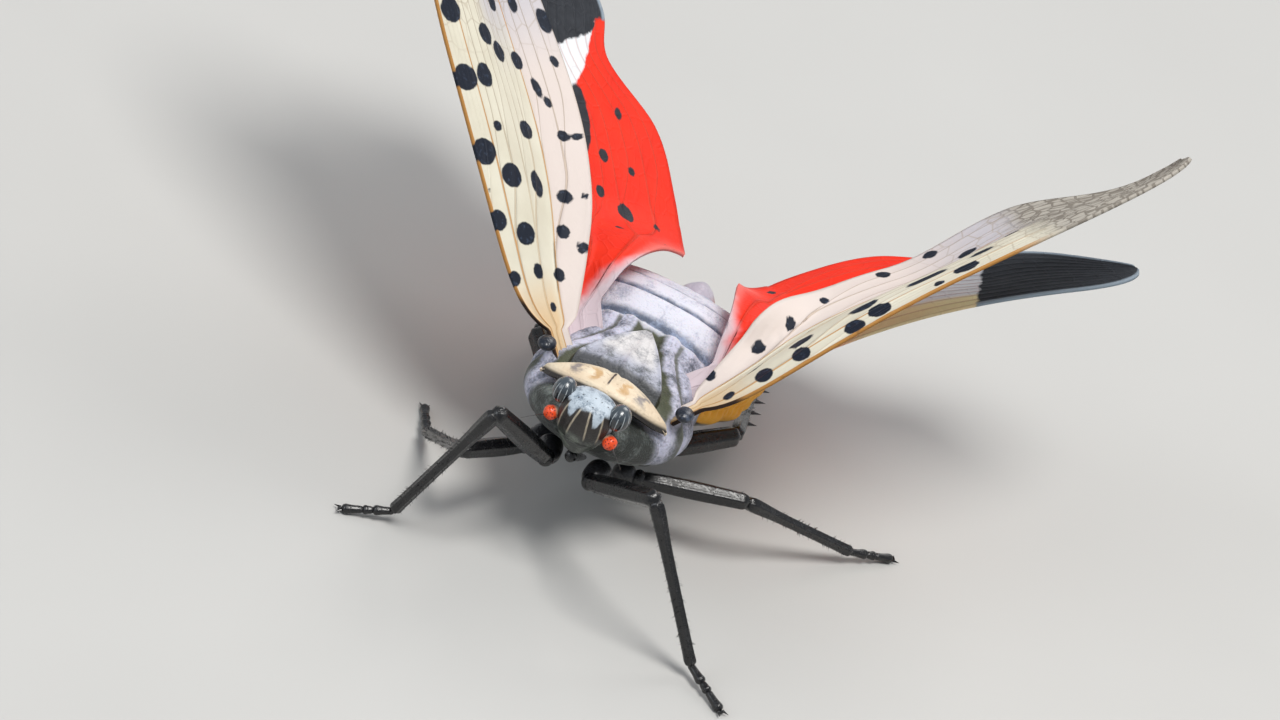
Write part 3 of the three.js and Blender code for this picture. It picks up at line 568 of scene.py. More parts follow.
def drape(point, lift):
    """Raise a point of a wing over the back."""
    local = in_body(point)
    floor = back_height(local.x, local.y) + lift
    excess = (local.z - floor) / DRAPE_SOFTNESS
    rise = excess if excess > 20 else math.log(1 + math.exp(excess))
    local.z = floor + DRAPE_SOFTNESS * rise
    return on_body(local.x, local.y, local.z)


class Wing:
    """One wing's surface: a runs from root to tip, x from the front edge to the rear."""

    def __init__(self, name):
        self.shape = WINGS[name]
        fore = name.startswith("forewing")
        self.length = FOREWING_SPAN if fore else HINDWING_SPAN
        self.lift = FOREWING_LIFT if fore else HINDWING_LIFT
        self.outline = forewing_outline if fore else hindwing_outline
        self.relief = forewing_relief if fore else hindwing_relief
        self.origin = on_body(*self.shape["root"])
        self.span = Vector(self.shape["span"]).normalized()
        chord = Vector(self.shape["chord"])
        self.chord = (chord - self.span * chord.dot(self.span)).normalized()
        self.up = self.span.cross(self.chord)
        if self.up.z < 0:
            self.up.negate()

    def size(self, a):
        """Place across of the front edge, and the chord."""
        front, chord = self.outline(a, self.shape)
        return front, chord * self.shape["width"]

    def place(self, a, x):
        front, chord = self.size(a)
        bow = self.shape["bow"] * math.sin(math.pi * clamp(a))
        height = self.relief(a, x, chord, self.shape["curl"]) + bow
        flat = self.origin + self.span * a * self.length + self.chord * (front + x * chord) + self.up * height
        return drape(flat, self.lift)


def vein_places(bundles, a, chance):
    """Where the veins cross the chord: every fourth comes from the root and the others branch off it."""
    places = []
    for k in range(4 * len(bundles) - 3):
        first, last = bundles[k // 4], bundles[min(k // 4 + 1, len(bundles) - 1)]
        own = lerp(first, last, k % 4 / 4)
        if k % 4 == 0:
            places.append(own)
            continue
        start, parent = (0.1, k - 2) if k % 4 == 2 else (0.24, k - 1)
        start += 0.1 * chance[k]
        places.append(lerp(places[parent] + 0.004, own, smoothstep(a, start, start + 0.16)))
    return places


def spot_distance(spots, along, across):
    """Signed distance to the nearest edge of a table of oval spots, positive inside."""
    nearest = -1.0
    for span, chord, half_length, half_width in spots:
        reach = math.hypot((along - span) / half_length, (across - chord) / half_width)
        nearest = max(nearest, (1 - reach) * min(half_length, half_width))
    return nearest


def make_wing(name, bundles, rows, seed, fields):
    """A thin wing with a column of vertices on each vein and raised veins on both faces."""
    wing = Wing(name)
    count = 4 * (len(bundles) - 1)
    chance = [random.Random(seed * 100 + k).random() for k in range(count + 1)]

    def where(u, v):
        a = WING_START + (1 - WING_START) * (1 - (1 - v) ** ROW_CROWDING)
        places = vein_places(bundles, a, chance)
        index = min(int(u * count + 1e-6), count - 1)
        part = u * count - index
        return a, lerp(places[index], places[index + 1], part), index, part, places

    def values(u, v):
        a, x, index, part, places = where(u, v)
        front, chord = wing.size(a)
        pitch = (places[index + 1] - places[index]) * chord
        near = min(part, 1 - part) * pitch
        main = min(abs(u * count - vein) for vein in MAIN_VEINS) * pitch
        own = {"span": a * wing.length, "chord": front + x * chord, "line": u * count, "pitch": pitch,
               "edge": min(x, 1 - x) * chord, "across": x, "near": near, "main": main}
        own.update(fields(own["span"], own["chord"]))
        return own

    piece = sheet_grid(name + "_sheet", count * VEIN_COLUMNS, rows,
                       lambda u, v: wing.place(*where(u, v)[:2]), values)
    shares = [MEMBRANE_SHARE] * len(piece.data.vertices)
    for key, (width, share) in WING_RIDGES.items():
        for k, distance in enumerate(read_field(piece, key)):
            shares[k] += share * math.exp(-(distance / width) ** 2)
    give_wall(piece, 2 * MEMBRANE, [clamp(share) for share in shares])
    return piece


# Body, head and plates

def skin_reach(y, angle, beside):
    """How far the skin stands out from its plain section: steps, seams, lobes and pleats."""
    side = abs(angle)
    reach = 1.0
    if y < ABDOMEN_START:
        above = 1 - smoothstep(side, 1.2, 1.5)
        ridge = 0.1 * bump(beside, 0.7, 0.34) - 0.09 * bump(beside, 0.16, 0.16)
        reach += above * smoothstep(y, 3.4, 3.8) * ridge
        ridge = 0.05 * bump(beside, 1.5, 0.3) - 0.03 * bump(beside, 1.1, 0.1)
        reach += above * smoothstep(y, 5.2, 5.8) * ridge
        for seam in THORAX_SEAMS:
            reach -= 0.05 * bump(y, seam, 0.09) * smoothstep(side, 0.7, 1.2)
        lobes = sum(height * bump(y, centre, length) for height, centre, length in SIDE_LOBES)
        reach += lobes * bump(side, 1.45, 0.45)
        reach -= 0.05 * bump(y, 4.1, 0.1) * bump(side, 1.5, 0.6)
        reach -= 0.04 * bump(side, 2.15, 0.07)
        return reach
    part = (y - ABDOMEN_START) / (ABDOMEN_END - ABDOMEN_START) * ABDOMEN_SEGMENTS % 1
    inset = smoothstep(part, 0, 0.1) * (1 - smoothstep(part, 0.1, 1)) ** 0.8
    reach -= 0.05 * inset
    pleats = bump(side, 1.78, 0.14)
    reach -= pleats * (0.05 + 0.012 * math.cos(part * 2 * math.pi * 5))
    return reach


def skin_place(t, angle):
    """The angle is zero along the middle of the back and grows towards the insect's left."""
    start, end = BODY[0][0], BODY[-1][0]
    y = lerp(start, end, clamp((t - SKIN_CAP) / (1 - 2 * SKIN_CAP)))
    closed = math.sin(math.pi / 2 * clamp(min(t, 1 - t) / SKIN_CAP))
    y += math.copysign(SKIN_CAP_REACH, t - 0.5) * (1 - closed)
    width, top, bottom = along_rows(BODY, y)
    middle, height = (top + bottom) / 2, (top - bottom) / 2
    s, c = math.sin(angle), math.cos(angle)
    beside = width * abs(s) ** SHOULDER_ROUNDNESS - shield_half_width(y)
    reach = closed * skin_reach(y, angle, beside)
    x = width * math.copysign(abs(s) ** SHOULDER_ROUNDNESS, s) * reach
    z = middle + height * math.copysign(abs(c) ** SHOULDER_ROUNDNESS, c) * reach
    return on_body(x, y, z), {"back": y, "side": abs(angle), "beside": beside}


def head_place(t, angle):
    """The angle is zero at the middle of the face and grows towards the insect's left."""
    width, depth, setback = along_rows(HEAD_SECTIONS, t)
    closed = math.sin(math.pi / 2 * clamp(min(t, 1 - t) / 0.05)) ** 0.6
    facing = abs(angle)
    frons = smoothstep(t, 0.08, 0.14) * (1 - smoothstep(t, 0.66, 0.72))
    lower = clamp(t / 0.66)
    nearest = min(abs(facing - lerp(0.12, 0.38, lower)), abs(facing - lerp(0.62, 0.9, lower))) * width
    ridge = 0.05 * math.exp(-(nearest / CARINA_WIDTH) ** 2) * frons
    seam = 0.05 * bump(t, 0.69, 0.012) * smoothstep(math.cos(angle), -0.2, 0.4)
    stretch = closed * (1 + ridge - seam - 0.02 * frons)
    x = math.sin(angle) * width * stretch
    y = setback - math.cos(angle) * depth * stretch
    z = lerp(HEAD_TOP, HEAD_BOTTOM, t)
    return on_body(x, y, z), {"down": t, "facing": facing, "carina": nearest}


def dome_point(radii, t, angle):
    """A point of an upright dome around its own centre."""
    ring, rise = math.sin(math.pi * t), math.cos(math.pi * t)
    return radii[0] * ring * math.sin(angle), radii[1] * ring * math.cos(angle), radii[2] * rise


def eye_place(side):
    def place(t, angle):
        x, y, z = dome_point(EYE_RADII, t, angle)
        fan = math.atan2(math.cos(angle), math.sin(angle) * side)
        return on_body(side * EYE_OFFSET + x, y, z), {"fan": fan, "rise": math.cos(math.pi * t)}
    return place


def tegula_place(side):
    def place(t, angle):
        x, y, z = dome_point(TEGULA_RADII, t, angle)
        fold = 1 - 0.12 * bump(y, 0.12, 0.05)
        return on_body(side * TEGULA_PLACE[0] + x * fold, TEGULA_PLACE[1] + y, TEGULA_PLACE[2] + z * fold)
    return place


def pronotum_place(u, v):
    """The saddle: u runs across from side to side, v from its front edge to its rear."""
    across = 2 * u - 1
    bulge = 1 - across * across
    front = lerp(PRONOTUM_CORNER, PRONOTUM_FRONT, bulge ** 0.75)
    rear = lerp(PRONOTUM_CORNER + 0.1, PRONOTUM_REAR, bulge)
    point = max(0.06, math.sqrt(1 - min(abs(across), 1) ** 14))
    y = (front + rear) / 2 + (v - 0.5) * (rear - front) * point
    hem = min(v, 1 - v) * (rear - front) * point
    z = PRONOTUM_LEVEL - PRONOTUM_DROP * across * across + 0.12 * math.sin(math.pi * v)
    z += 0.06 * bump(across, 0, 0.03) * math.sin(math.pi * v)
    z -= 0.05 * bump(abs(across), 0.08, 0.05) * smoothstep(v, 0.25, 0.6)
    z -= 0.09 * bump(abs(across), 0.26, 0.09) * bump(v, 0.45, 0.22)
    z += 0.03 * bump(abs(across), 0.55, 0.05) * math.sin(math.pi * v)
    z -= 0.22 * (1 - smoothstep(hem, 0, 0.2)) ** 2
    return on_body(across * PRONOTUM_HALF_WIDTH, y, z)


def pronotum_rim(u, v):
    """Distance from the front or rear edge of the saddle, narrower towards its corners."""
    return min(v, 1 - v) * lerp(0.1, PRONOTUM_REAR - PRONOTUM_FRONT, 4 * u * (1 - u))


def shield_half_width(y):
    """Half width of the triangular shield at a distance behind the head."""
    v = clamp((y - MESONOTUM_FRONT) / (MESONOTUM_APEX - MESONOTUM_FRONT))
    return lerp(MESONOTUM_HALF_WIDTH, MESONOTUM_APEX_HALF_WIDTH, v ** MESONOTUM_TAPER)


def mesonotum_place(u, v):
    """The shield: u runs across from side to side, v from its hidden front to its apex."""
    y = lerp(MESONOTUM_HIDDEN_FRONT, MESONOTUM_APEX, v)
    half_width = shield_half_width(y)
    x = (2 * u - 1) * half_width
    z = 0.1 + 0.2 * math.sin(math.pi * v * 0.8) - 0.3 * (x / MESONOTUM_HALF_WIDTH) ** 2
    ridges = bump(x, 0, 0.05) + bump(abs(x), lerp(0.9, 0.12, v), 0.06)
    z += 0.05 * ridges * smoothstep(v, 0, 0.1) * (1 - v)
    z -= 0.08 * bump(abs(x), lerp(0.5, 0.1, v), 0.25) * bump(v, 0.4, 0.3)
    hem = min(half_width - abs(x), 0.5 * (MESONOTUM_APEX - y))
    z += 0.06 * math.exp(-((hem - 0.14) / 0.08) ** 2) - 0.2 * (1 - smoothstep(hem, 0, 0.12)) ** 2
    z -= 0.5 * (1 - smoothstep(y, MESONOTUM_HIDDEN_FRONT, MESONOTUM_FRONT + 0.15))
    return on_body(x, y, z)


def mesonotum_rim(u, v):
    """Distance from the sides or the apex of the shield."""
    y = lerp(MESONOTUM_HIDDEN_FRONT, MESONOTUM_APEX, v)
    return min(2 * min(u, 1 - u) * shield_half_width(y), 0.5 * (MESONOTUM_APEX - y))


def capsule(name, start, end, radii, sides, rings, keels=0.0, keel_count=6, floor=None, mark=0):
    """A round piece between two points, with keels along it, that doesn't reach below the floor.

    The mark is added to the places that the piece keeps, which tells joined pieces apart."""
    start, end = Vector(start), Vector(end)
    axis = end - start
    length = axis.length
    way = axis.normalized()
    side = way.cross(Vector((0, 0, 1))).normalized()
    up = side.cross(way)

    def place(t, angle):
        eased = (1 - math.cos(math.pi * t)) / 2
        spread = eased if length < 1.2 else lerp(t, eased, 0.3)
        radius = along_rows(radii, spread)[0]
        end_gap = min(spread, 1 - spread) * length
        closed = math.sqrt(clamp(1 - (1 - clamp(end_gap / max(radius, 0.01))) ** 2))
        keel = 1 + keels * (abs(math.cos(angle * keel_count / 2)) ** 4 - 0.3)
        reach = radius * closed * keel
        point = start + axis * spread + up * (math.cos(angle) * reach) + side * (math.sin(angle) * reach)
        if floor is not None:
            point.z = max(point.z, floor)
        return point, {"turn": angle, "reach": spread + mark}

    return loft(name, sides, rings, place)


def hairs_on(start, end, radius, seed, length):
    """Roots and directions of short hairs around a limb piece, leaning towards its far end."""
    chance = random.Random(seed)
    axis = end - start
    way = axis.normalized()
    side = way.cross(Vector((0, 0, 1))).normalized()
    up = side.cross(way)
    made = []
    for _ in range(int(HAIRS_PER_MM * axis.length)):
        t = chance.uniform(0.05, 0.97)
        angle = chance.uniform(0, 2 * math.pi)
        out = up * math.cos(angle) + side * math.sin(angle)
        root = start + axis * t + out * (radius * HAIR_SUNK)
        lean = chance.uniform(HAIR_LEAN * 0.6, HAIR_LEAN * 1.6)
        made.append((root, out + way * lean, length * chance.uniform(0.6, 1.2), HAIR_RADIUS))
    return made


# Materials

class Value:
    """What a node puts out; arithmetic on it adds nodes to the same tree."""

    def __init__(self, nodes, socket):
        self.nodes = nodes
        self.socket = socket

    def __add__(self, other):
        return self.nodes.maths("ADD", self, other)

    def __sub__(self, other):
        return self.nodes.maths("SUBTRACT", self, other)

    def __rsub__(self, other):
        return self.nodes.maths("SUBTRACT", other, self)

    def __mul__(self, other):
        return self.nodes.maths("MULTIPLY", self, other)

    def __truediv__(self, other):
        return self.nodes.maths("DIVIDE", self, other)

    def __abs__(self):
        return self.nodes.maths("ABSOLUTE", self)

    def between(self, low, high, first=0.0, last=1.0):
        """The value brought from one range to another, smoothly and without leaving it."""
        inputs = {"Value": self, "From Min": low, "From Max": high, "To Min": first, "To Max": last}
        return self.nodes.node("ShaderNodeMapRange", "Result", inputs, interpolation_type="SMOOTHSTEP")


class Nodes:
    """A shader tree in the making."""

    def __init__(self, tree):
        self.tree = tree
        self.place = self.node("ShaderNodeTexCoord", "Object", {})

    def put(self, socket, value):
        """Link a socket to what another node puts out, or set it to a plain number or colour."""
        if isinstance(value, Value):
            self.tree.links.new(value.socket, socket)
        else:
            socket.default_value = (*value, 1) if isinstance(value, tuple) else value

    def node(self, kind, output, inputs, **settings):
        """Add a node with its settings and inputs, and give one of its outputs."""
        made = self.tree.nodes.new(kind)
        for key, value in settings.items():
            setattr(made, key, value)
        for key, value in inputs.items():
            self.put(made.inputs[key], value)
        return Value(self, made.outputs[output])

    def grouped(self, group, **inputs):
        """Add a node group and give its outputs by name."""
        made = self.tree.nodes.new("ShaderNodeGroup")
        made.node_tree = group
        for key, value in inputs.items():
            self.put(made.inputs[key], value)
        return {socket.name: Value(self, socket) for socket in made.outputs}

    def maths(self, operation, first, second=0.0, limited=False):
        return self.node("ShaderNodeMath", 0, {0: first, 1: second}, operation=operation, use_clamp=limited)

    def most(self, first, second):
        return self.maths("MAXIMUM", first, second)

    def blend(self, share, first, second):
        """A colour between two others."""
        return self.node("ShaderNodeMix", 2, {0: share, 6: first, 7: second}, data_type="RGBA")

    def fields(self, *names):
        """Values that the mesh keeps at its points."""
        return [self.node("ShaderNodeAttribute", "Fac", {}, attribute_name=name) for name in names]

    def speckle(self, scale, detail=3.0, rough=0.55):
        """Cloudy noise."""
        inputs = {"Vector": self.place, "Scale": scale, "Detail": detail, "Roughness": rough}
        return self.node("ShaderNodeTexNoise", "Fac", inputs)

    def wander(self, scale, width, detail=3.0):
        """Noise around zero that moves an edge to and fro."""
        return (self.speckle(scale, detail) - 0.5) * width

    def cells(self, scale, randomness=1.0, vector=None, feature="F1"):
        """Distance to the middle or the edge of irregular cells."""
        inputs = {"Vector": vector or self.place, "Scale": scale, "Randomness": randomness}
        return self.node("ShaderNodeTexVoronoi", "Distance", inputs, feature=feature)

    def relief(self, height, strength, distance):
        inputs = {"Strength": strength, "Distance": distance, "Height": height}
        return self.node("ShaderNodeBump", "Normal", inputs)

    def bloom(self, ground, wax, cover, scale):
        """Colour of a waxy bloom on its ground, and the share that it covers."""
        made = self.grouped(BLOOM, Ground=ground, Wax=wax, Cover=cover, Scale=scale)
        return made["Colour"], made["Share"]

    def grain(self, scale, depth, height):
        return self.grouped(GRAIN, Scale=scale, Depth=depth, Height=height)["Normal"]

    def frayed(self, name, fray, soft=0.05):
        """Mask of the inside of a distance field of the mesh."""
        return self.grouped(SPOT_EDGE, Distance=self.fields(name)[0], Fray=fray, Soft=soft)["Mask"]


class Group(Nodes):
    """A node group with named inputs and their starting values, and named outputs and their kinds."""

    def __init__(self, name, inputs, outputs):
        super().__init__(bpy.data.node_groups.new(name, "ShaderNodeTree"))
        for label, value in inputs.items():
            kind = "NodeSocketColor" if isinstance(value, tuple) else "NodeSocketFloat"
            socket = self.tree.interface.new_socket(name=label, in_out="INPUT", socket_type=kind)
            self.put(socket, value)
        for label, kind in outputs.items():
            self.tree.interface.new_socket(name=label, in_out="OUTPUT", socket_type=kind)
        entry = self.tree.nodes.new("NodeGroupInput")
        self.given = {label: Value(self, entry.outputs[label]) for label in inputs}
        self.leave = self.tree.nodes.new("NodeGroupOutput")

    def give(self, **outputs):
        for label, value in outputs.items():
            self.put(self.leave.inputs[label], value)
        return self.tree


def make_grain():
    """Fine pits and wrinkles of the shell, as a normal."""
    group = Group("shell grain", {"Scale": 9000.0, "Depth": 0.4, "Height": 0.0},
                  {"Normal": "NodeSocketVector"})
    given = group.given
    pits = group.cells(given["Scale"]).between(0.15, 0.5)
    fine = group.speckle(given["Scale"] * 0.7)
    height = pits * 0.6 + fine * 0.7 + given["Height"]
    return group.give(Normal=group.relief(height, given["Depth"], 0.00003))


def make_bloom():
    """Waxy bloom that lies unevenly on a darker ground."""
    group = Group("waxy bloom",
                  {"Ground": (0.1, 0.1, 0.12), "Wax": (0.6, 0.6, 0.7), "Cover": 0.6, "Scale": 900.0},
                  {"Colour": "NodeSocketColor", "Share": "NodeSocketFloat"})
    given = group.given
    broad = group.speckle(given["Scale"], 4.0, 0.6)
    fine = group.speckle(given["Scale"] * 9.0, 2.0, 0.6)
    bare = (1.0 - given["Cover"]) * 0.6
    share = (broad * 0.72 + fine * 0.28 - bare).between(0.12, 0.36)
    return group.give(Colour=group.blend(share, given["Ground"], given["Wax"]), Share=share)


def make_spot_edge():
    """A mask from a distance field in millimetres, with an edge that frays a little."""
    group = Group("frayed spot", {"Distance": 0.0, "Fray": 0.1, "Scale": 2600.0, "Soft": 0.05},
                  {"Mask": "NodeSocketFloat"})
    given = group.given
    moved = given["Distance"] + group.wander(given["Scale"], given["Fray"], 2.0)
    return group.give(Mask=group.maths("ADD", moved / given["Soft"], 0.5, limited=True))


GRAIN = make_grain()
BLOOM = make_bloom()
SPOT_EDGE = make_spot_edge()


class Paint(Nodes):
    """A material in the making."""

    def __init__(self, name, roughness, coat=0.0, sheen=0.0, subsurface=0.0, specular=0.5):
        self.material = bpy.data.materials.new(name)
        self.material.use_nodes = True
        super().__init__(self.material.node_tree)
        self.sockets = self.tree.nodes["Principled BSDF"].inputs
        plain = {"Roughness": roughness, "Coat Weight": coat, "Coat Roughness": COAT_ROUGHNESS,
                 "Sheen Weight": sheen, "Subsurface Weight": subsurface, "Subsurface Radius": SOFT_RADIUS,
                 "Subsurface Scale": SOFT_SCALE, "Specular IOR Level": specular}
        for label, value in plain.items():
            self.sockets[label].default_value = value

    def finish(self, colour, normal=None, roughness=None):
        """Feed the shader with what changes over the surface, and give the material."""
        for label, value in (("Base Color", colour), ("Normal", normal), ("Roughness", roughness)):
            if value:
                self.put(self.sockets[label], value)
        return self.material


def shell_material(name, ground, wax, cover, roughness):
    """Plain shell with a waxy bloom and fine pits."""
    paint = Paint(name, roughness, coat=0.1)
    colour, dust = paint.bloom(ground, wax, cover, 900.0)
    gloss = dust.between(0, 1, roughness * 0.7, roughness * 1.25)
    return paint.finish(colour, paint.grain(9000.0, 0.5, dust), gloss)


def skin_material():
    """Banded abdomen with an orange side, and the dusty thorax before it, with painted shade on its underside
    and its front.
    """
    paint = Paint("dusty banded skin", 0.6, sheen=0.1, subsurface=0.1)
    back, side, beside = paint.fields("back", "side", "beside")
    wander = paint.wander(1500.0, 0.3)
    segment = (back - ABDOMEN_START) / ((ABDOMEN_END - ABDOMEN_START) / ABDOMEN_SEGMENTS)
    part = paint.maths("FRACT", segment) + wander
    edge = side + wander * 0.5
    # Abdomen: grey segments with a dark front band each, an orange flank and a dark belly
    pale, dust = paint.bloom((0.32, 0.34, 0.44), (0.64, 0.64, 0.72), 0.7, 1300.0)
    dark, _ = paint.bloom((0.07, 0.09, 0.14), (0.24, 0.29, 0.42), 0.5, 1700.0)
    yellow = paint.blend(paint.speckle(1100.0), (0.85, 0.3, 0.006), (0.95, 0.5, 0.03))
    below = paint.blend(part.between(0.55, 0.8), (0.012, 0.012, 0.016), (0.3, 0.27, 0.24))
    abdomen = paint.blend(part.between(0.04, 0.12) * part.between(0.45, 0.2), pale, dark)
    abdomen = paint.blend(edge.between(1.3, 1.42), abdomen, yellow)
    abdomen = paint.blend(edge.between(2.1, 2.25), abdomen, below)
    # Thorax: lavender dust, with olive hollows beside the shield, and painted shade on its underside and its
    # front
    dusty, _ = paint.bloom((0.09, 0.1, 0.13), (0.52, 0.52, 0.64), 0.6, 1100.0)
    # Painted shade: a dark grey-green that stands for shadow on the thorax, not for its own colour
    painted_shade, _ = paint.bloom((0.014, 0.018, 0.015), (0.15, 0.17, 0.16), 0.45, 1300.0)
    olive = paint.blend(paint.speckle(2300.0), (0.01, 0.012, 0.006), (0.08, 0.09, 0.04))
    moved = beside + wander
    inner = abs(moved - 0.2).between(0.36, 0.2)
    outer = abs(moved - 1.05).between(0.3, 0.12) * back.between(5.9, 5.0, 0.0, 0.85)
    thorax = paint.blend(paint.most(inner, outer) * back.between(3.0, 3.5), dusty, olive)
    crease = abs(beside - 1.12).between(0.14, 0.03) * back.between(4.8, 5.6)
    thorax = paint.blend(crease * 0.8, thorax, olive)
    # Painted shade: darkens the thorax's underside and its front part under the saddle
    thorax = paint.blend(paint.most(edge.between(1.75, 2.15), back.between(2.75, 2.2)), thorax, painted_shade)
    hind = back.between(ABDOMEN_START - 0.15, ABDOMEN_START + 0.05)
    return paint.finish(paint.blend(hind, thorax, abdomen), paint.grain(12000.0, 0.55, dust))


def head_material():
    """Dark face panels between thin pale ridges, a pale crown, and a grey-green lower face and lower cheeks
    darkened with painted shade.
    """
    paint = Paint("face shell", 0.38, coat=0.25)
    down, facing, carina = paint.fields("down", "facing", "carina")
    crown, _ = paint.bloom((0.08, 0.12, 0.17), (0.47, 0.54, 0.61), 0.68, 2400.0)
    # Painted shade: the grey-green lower face is painted much darker, as if in shadow
    lower, dust = paint.bloom((0.02, 0.024, 0.02), (0.15, 0.17, 0.14), 0.5, 2600.0)
    panel = paint.blend(paint.speckle(2500.0), (0.004, 0.003, 0.003), (0.03, 0.022, 0.018))
    face = paint.blend(carina.between(0.05, 0.015), panel, (0.4, 0.34, 0.25))
    colour = paint.blend(down.between(0.5, 0.62), face, lower)
    lobe = abs(facing - 0.5).between(0.26, 0.04, 0.0, 0.17)
    top = down + paint.wander(3600.0, 0.1) - lobe
    colour = paint.blend(top.between(0.165, 0.105), colour, crown)
    # Painted shade: the cheeks grow darker towards the bottom as they blend into the shaded lower face
    cheek = paint.blend(down.between(0.3, 0.5), crown, lower)
    colour = paint.blend(facing.between(1.15, 1.3), colour, cheek)
    dots = paint.cells(4200.0, 0.8).between(0.2, 0.12) * down.between(0.2, 0.12)
    colour = paint.blend(dots * 0.85, colour, (0.01, 0.015, 0.03))
    return paint.finish(colour, paint.grain(14000.0, 0.4, dust))


def eye_material():
    """Dark glossy eye, painted lighter towards its top, with pale streaks of painted reflection that fan from
    its top, under a lattice of facets.
    """
    paint = Paint("faceted eye", 0.16, coat=0.8)
    fan, rise = paint.fields("fan", "rise")
    # Painted reflection: pale streaks on the dark glossy eye
    painted_reflection_streak = paint.maths("PINGPONG", fan * 1.9 + 0.25, 0.5).between(0.4, 0.47)
    painted_reflection_streak = painted_reflection_streak * rise.between(0.85, 0.45) * paint.speckle(6000.0).between(0.3, 0.5)
    # Painted light: the dome is lighter towards its top
    dome = paint.blend(rise.between(-0.2, 0.8), (0.005, 0.009, 0.014), (0.045, 0.06, 0.075))
    colour = paint.blend(painted_reflection_streak * 0.85, dome, (0.42, 0.46, 0.48))
    return paint.finish(colour, paint.relief(paint.cells(26000.0), 0.3, 0.00001))


def antenna_material():
    """Orange-red feeler joint set with round pits, paler towards its base."""
    paint = Paint("pitted orange feeler", 0.4, coat=0.25, subsurface=0.2)
    reach, = paint.fields("reach")
    pits = paint.cells(9500.0, 0.55).between(0.16, 0.34)
    colour = paint.blend(pits, (0.3, 0.012, 0.004), (0.82, 0.075, 0.01))
    colour = paint.blend(reach.between(0.5, 0.85), colour, (0.02, 0.015, 0.015))
    colour = paint.blend(reach.between(-0.2, -0.4), colour, (0.5, 0.38, 0.28))
    return paint.finish(colour, paint.relief(pits, 0.9, 0.00004))


def pronotum_material():
    """Tan saddle with a dark middle groove, ochre and grey smudges and a dark front hem."""
    paint = Paint("tan saddle", 0.5, coat=0.12)
    across, along, rim = paint.fields("across", "along", "rim")
    wander = paint.wander(2300.0, 0.42, 4.0)
    fine = paint.speckle(5200.0)
    tan = paint.blend(paint.speckle(900.0), (0.58, 0.42, 0.27), (0.82, 0.74, 0.58))
    tan = paint.blend(fine.between(0.6, 0.85), tan, (0.3, 0.18, 0.1))
    line = abs(across) + wander * 0.06
    groove = line.between(0.02, 0.008) * along.between(0.16, 0.3) * along.between(0.9, 0.8)
    colour = paint.blend(groove, tan, (0.05, 0.035, 0.03))
    moved = abs(across) + wander
    middle = abs(along - 0.5).between(0.4, 0.15)
    for centre, reach, share, smudge in ((0.22, 0.1, 0.7, (0.5, 0.27, 0.07)),
                                         (0.52, 0.11, 0.8, (0.14, 0.13, 0.15))):
        patch = abs(moved - centre).between(reach, 0.02) * middle
        colour = paint.blend(patch * share, colour, smudge)
    hem = rim.between(0.1, 0.05) * along.between(0.5, 0.4)
    colour = paint.blend(hem, colour, (0.014, 0.01, 0.008))
    return paint.finish(colour, paint.grain(7000.0, 0.7, fine))


def mesonotum_material():
    """Grey-lavender shield, paler in its middle, with painted shade along its front behind the saddle, and
    with a dark rim.
    """
    paint = Paint("grey shield", 0.5, coat=0.12)
    across, along, rim = paint.fields("across", "along", "rim")
    grey, dust = paint.bloom((0.09, 0.1, 0.11), (0.38, 0.39, 0.47), 0.66, 1500.0)
    pale, _ = paint.bloom((0.26, 0.26, 0.28), (0.62, 0.6, 0.6), 0.66, 1500.0)
    reach = abs(across) + paint.wander(1600.0, 0.6)
    colour = paint.blend(reach.between(0.95, 0.6) * along.between(0.2, 0.45), grey, pale)
    # Painted shade: the shield's front, behind the saddle's rear edge, is darkened as if in its shadow
    colour = paint.blend(along.between(0.17, 0.1) * 0.9, colour, (0.02, 0.022, 0.022))
    colour = paint.blend(rim.between(0.13, 0.06), colour, (0.014, 0.018, 0.006))
    return paint.finish(colour, paint.grain(9000.0, 0.6, dust))


def leg_material():
    """Glossy black-brown legs with a grey dust in the grooves between their keels."""
    paint = Paint("glossy black leg", 0.3, coat=0.2)
    turn, = paint.fields("turn")
    dust = paint.speckle(2600.0, 4.0, 0.65).between(0.5, 0.72)
    groove = paint.maths("PINGPONG", turn * (3 / math.pi), 0.5).between(0.38, 0.2)
    colour = paint.blend(dust * 0.2, (0.002, 0.002, 0.003), (0.05, 0.05, 0.055))
    colour = paint.blend(groove * 0.03, colour, (0.1, 0.1, 0.1))
    return paint.finish(colour, paint.grain(15000.0, 0.35, dust), dust.between(0, 1, 0.26, 0.5))


def tail_material():
    """Red-brown tail tip, dusted pale on top."""
    paint = Paint("red-brown tail tip", 0.5, coat=0.1)
    turn, = paint.fields("turn")
    brown, dust = paint.bloom((0.22, 0.05, 0.03), (0.46, 0.26, 0.24), 0.5, 900.0)
    colour = paint.blend(abs(turn).between(1.35, 0.7, 0.0, 0.8), brown, (0.46, 0.46, 0.55))
    return paint.finish(colour, paint.grain(9000.0, 0.5, dust))


class WingPaint(Paint):
    """A wing's material in the making, which reads the wing's own millimetres and veins."""

    def __init__(self, name):
        super().__init__(name, 0.6, specular=0.25)

    def veins(self, half_width):
        """Lines on the veins, at the same width in millimetres all over the wing."""
        line, pitch = self.fields("line", "pitch")
        distance = self.maths("PINGPONG", line, 0.5) * pitch
        return distance.between(half_width * 1.3, half_width * 0.5)

    def net(self, cells_per_mm, half_width, stretch=0.6):
        """Lines between irregular cells, as in the net at the tip of a wing."""
        span, chord = self.fields("span", "chord")
        own = self.node("ShaderNodeCombineXYZ", 0, {"X": span * stretch, "Y": chord})
        cells = self.cells(cells_per_mm, 0.6, own, "DISTANCE_TO_EDGE")
        return cells.between(half_width * 1.4, half_width * 0.5)


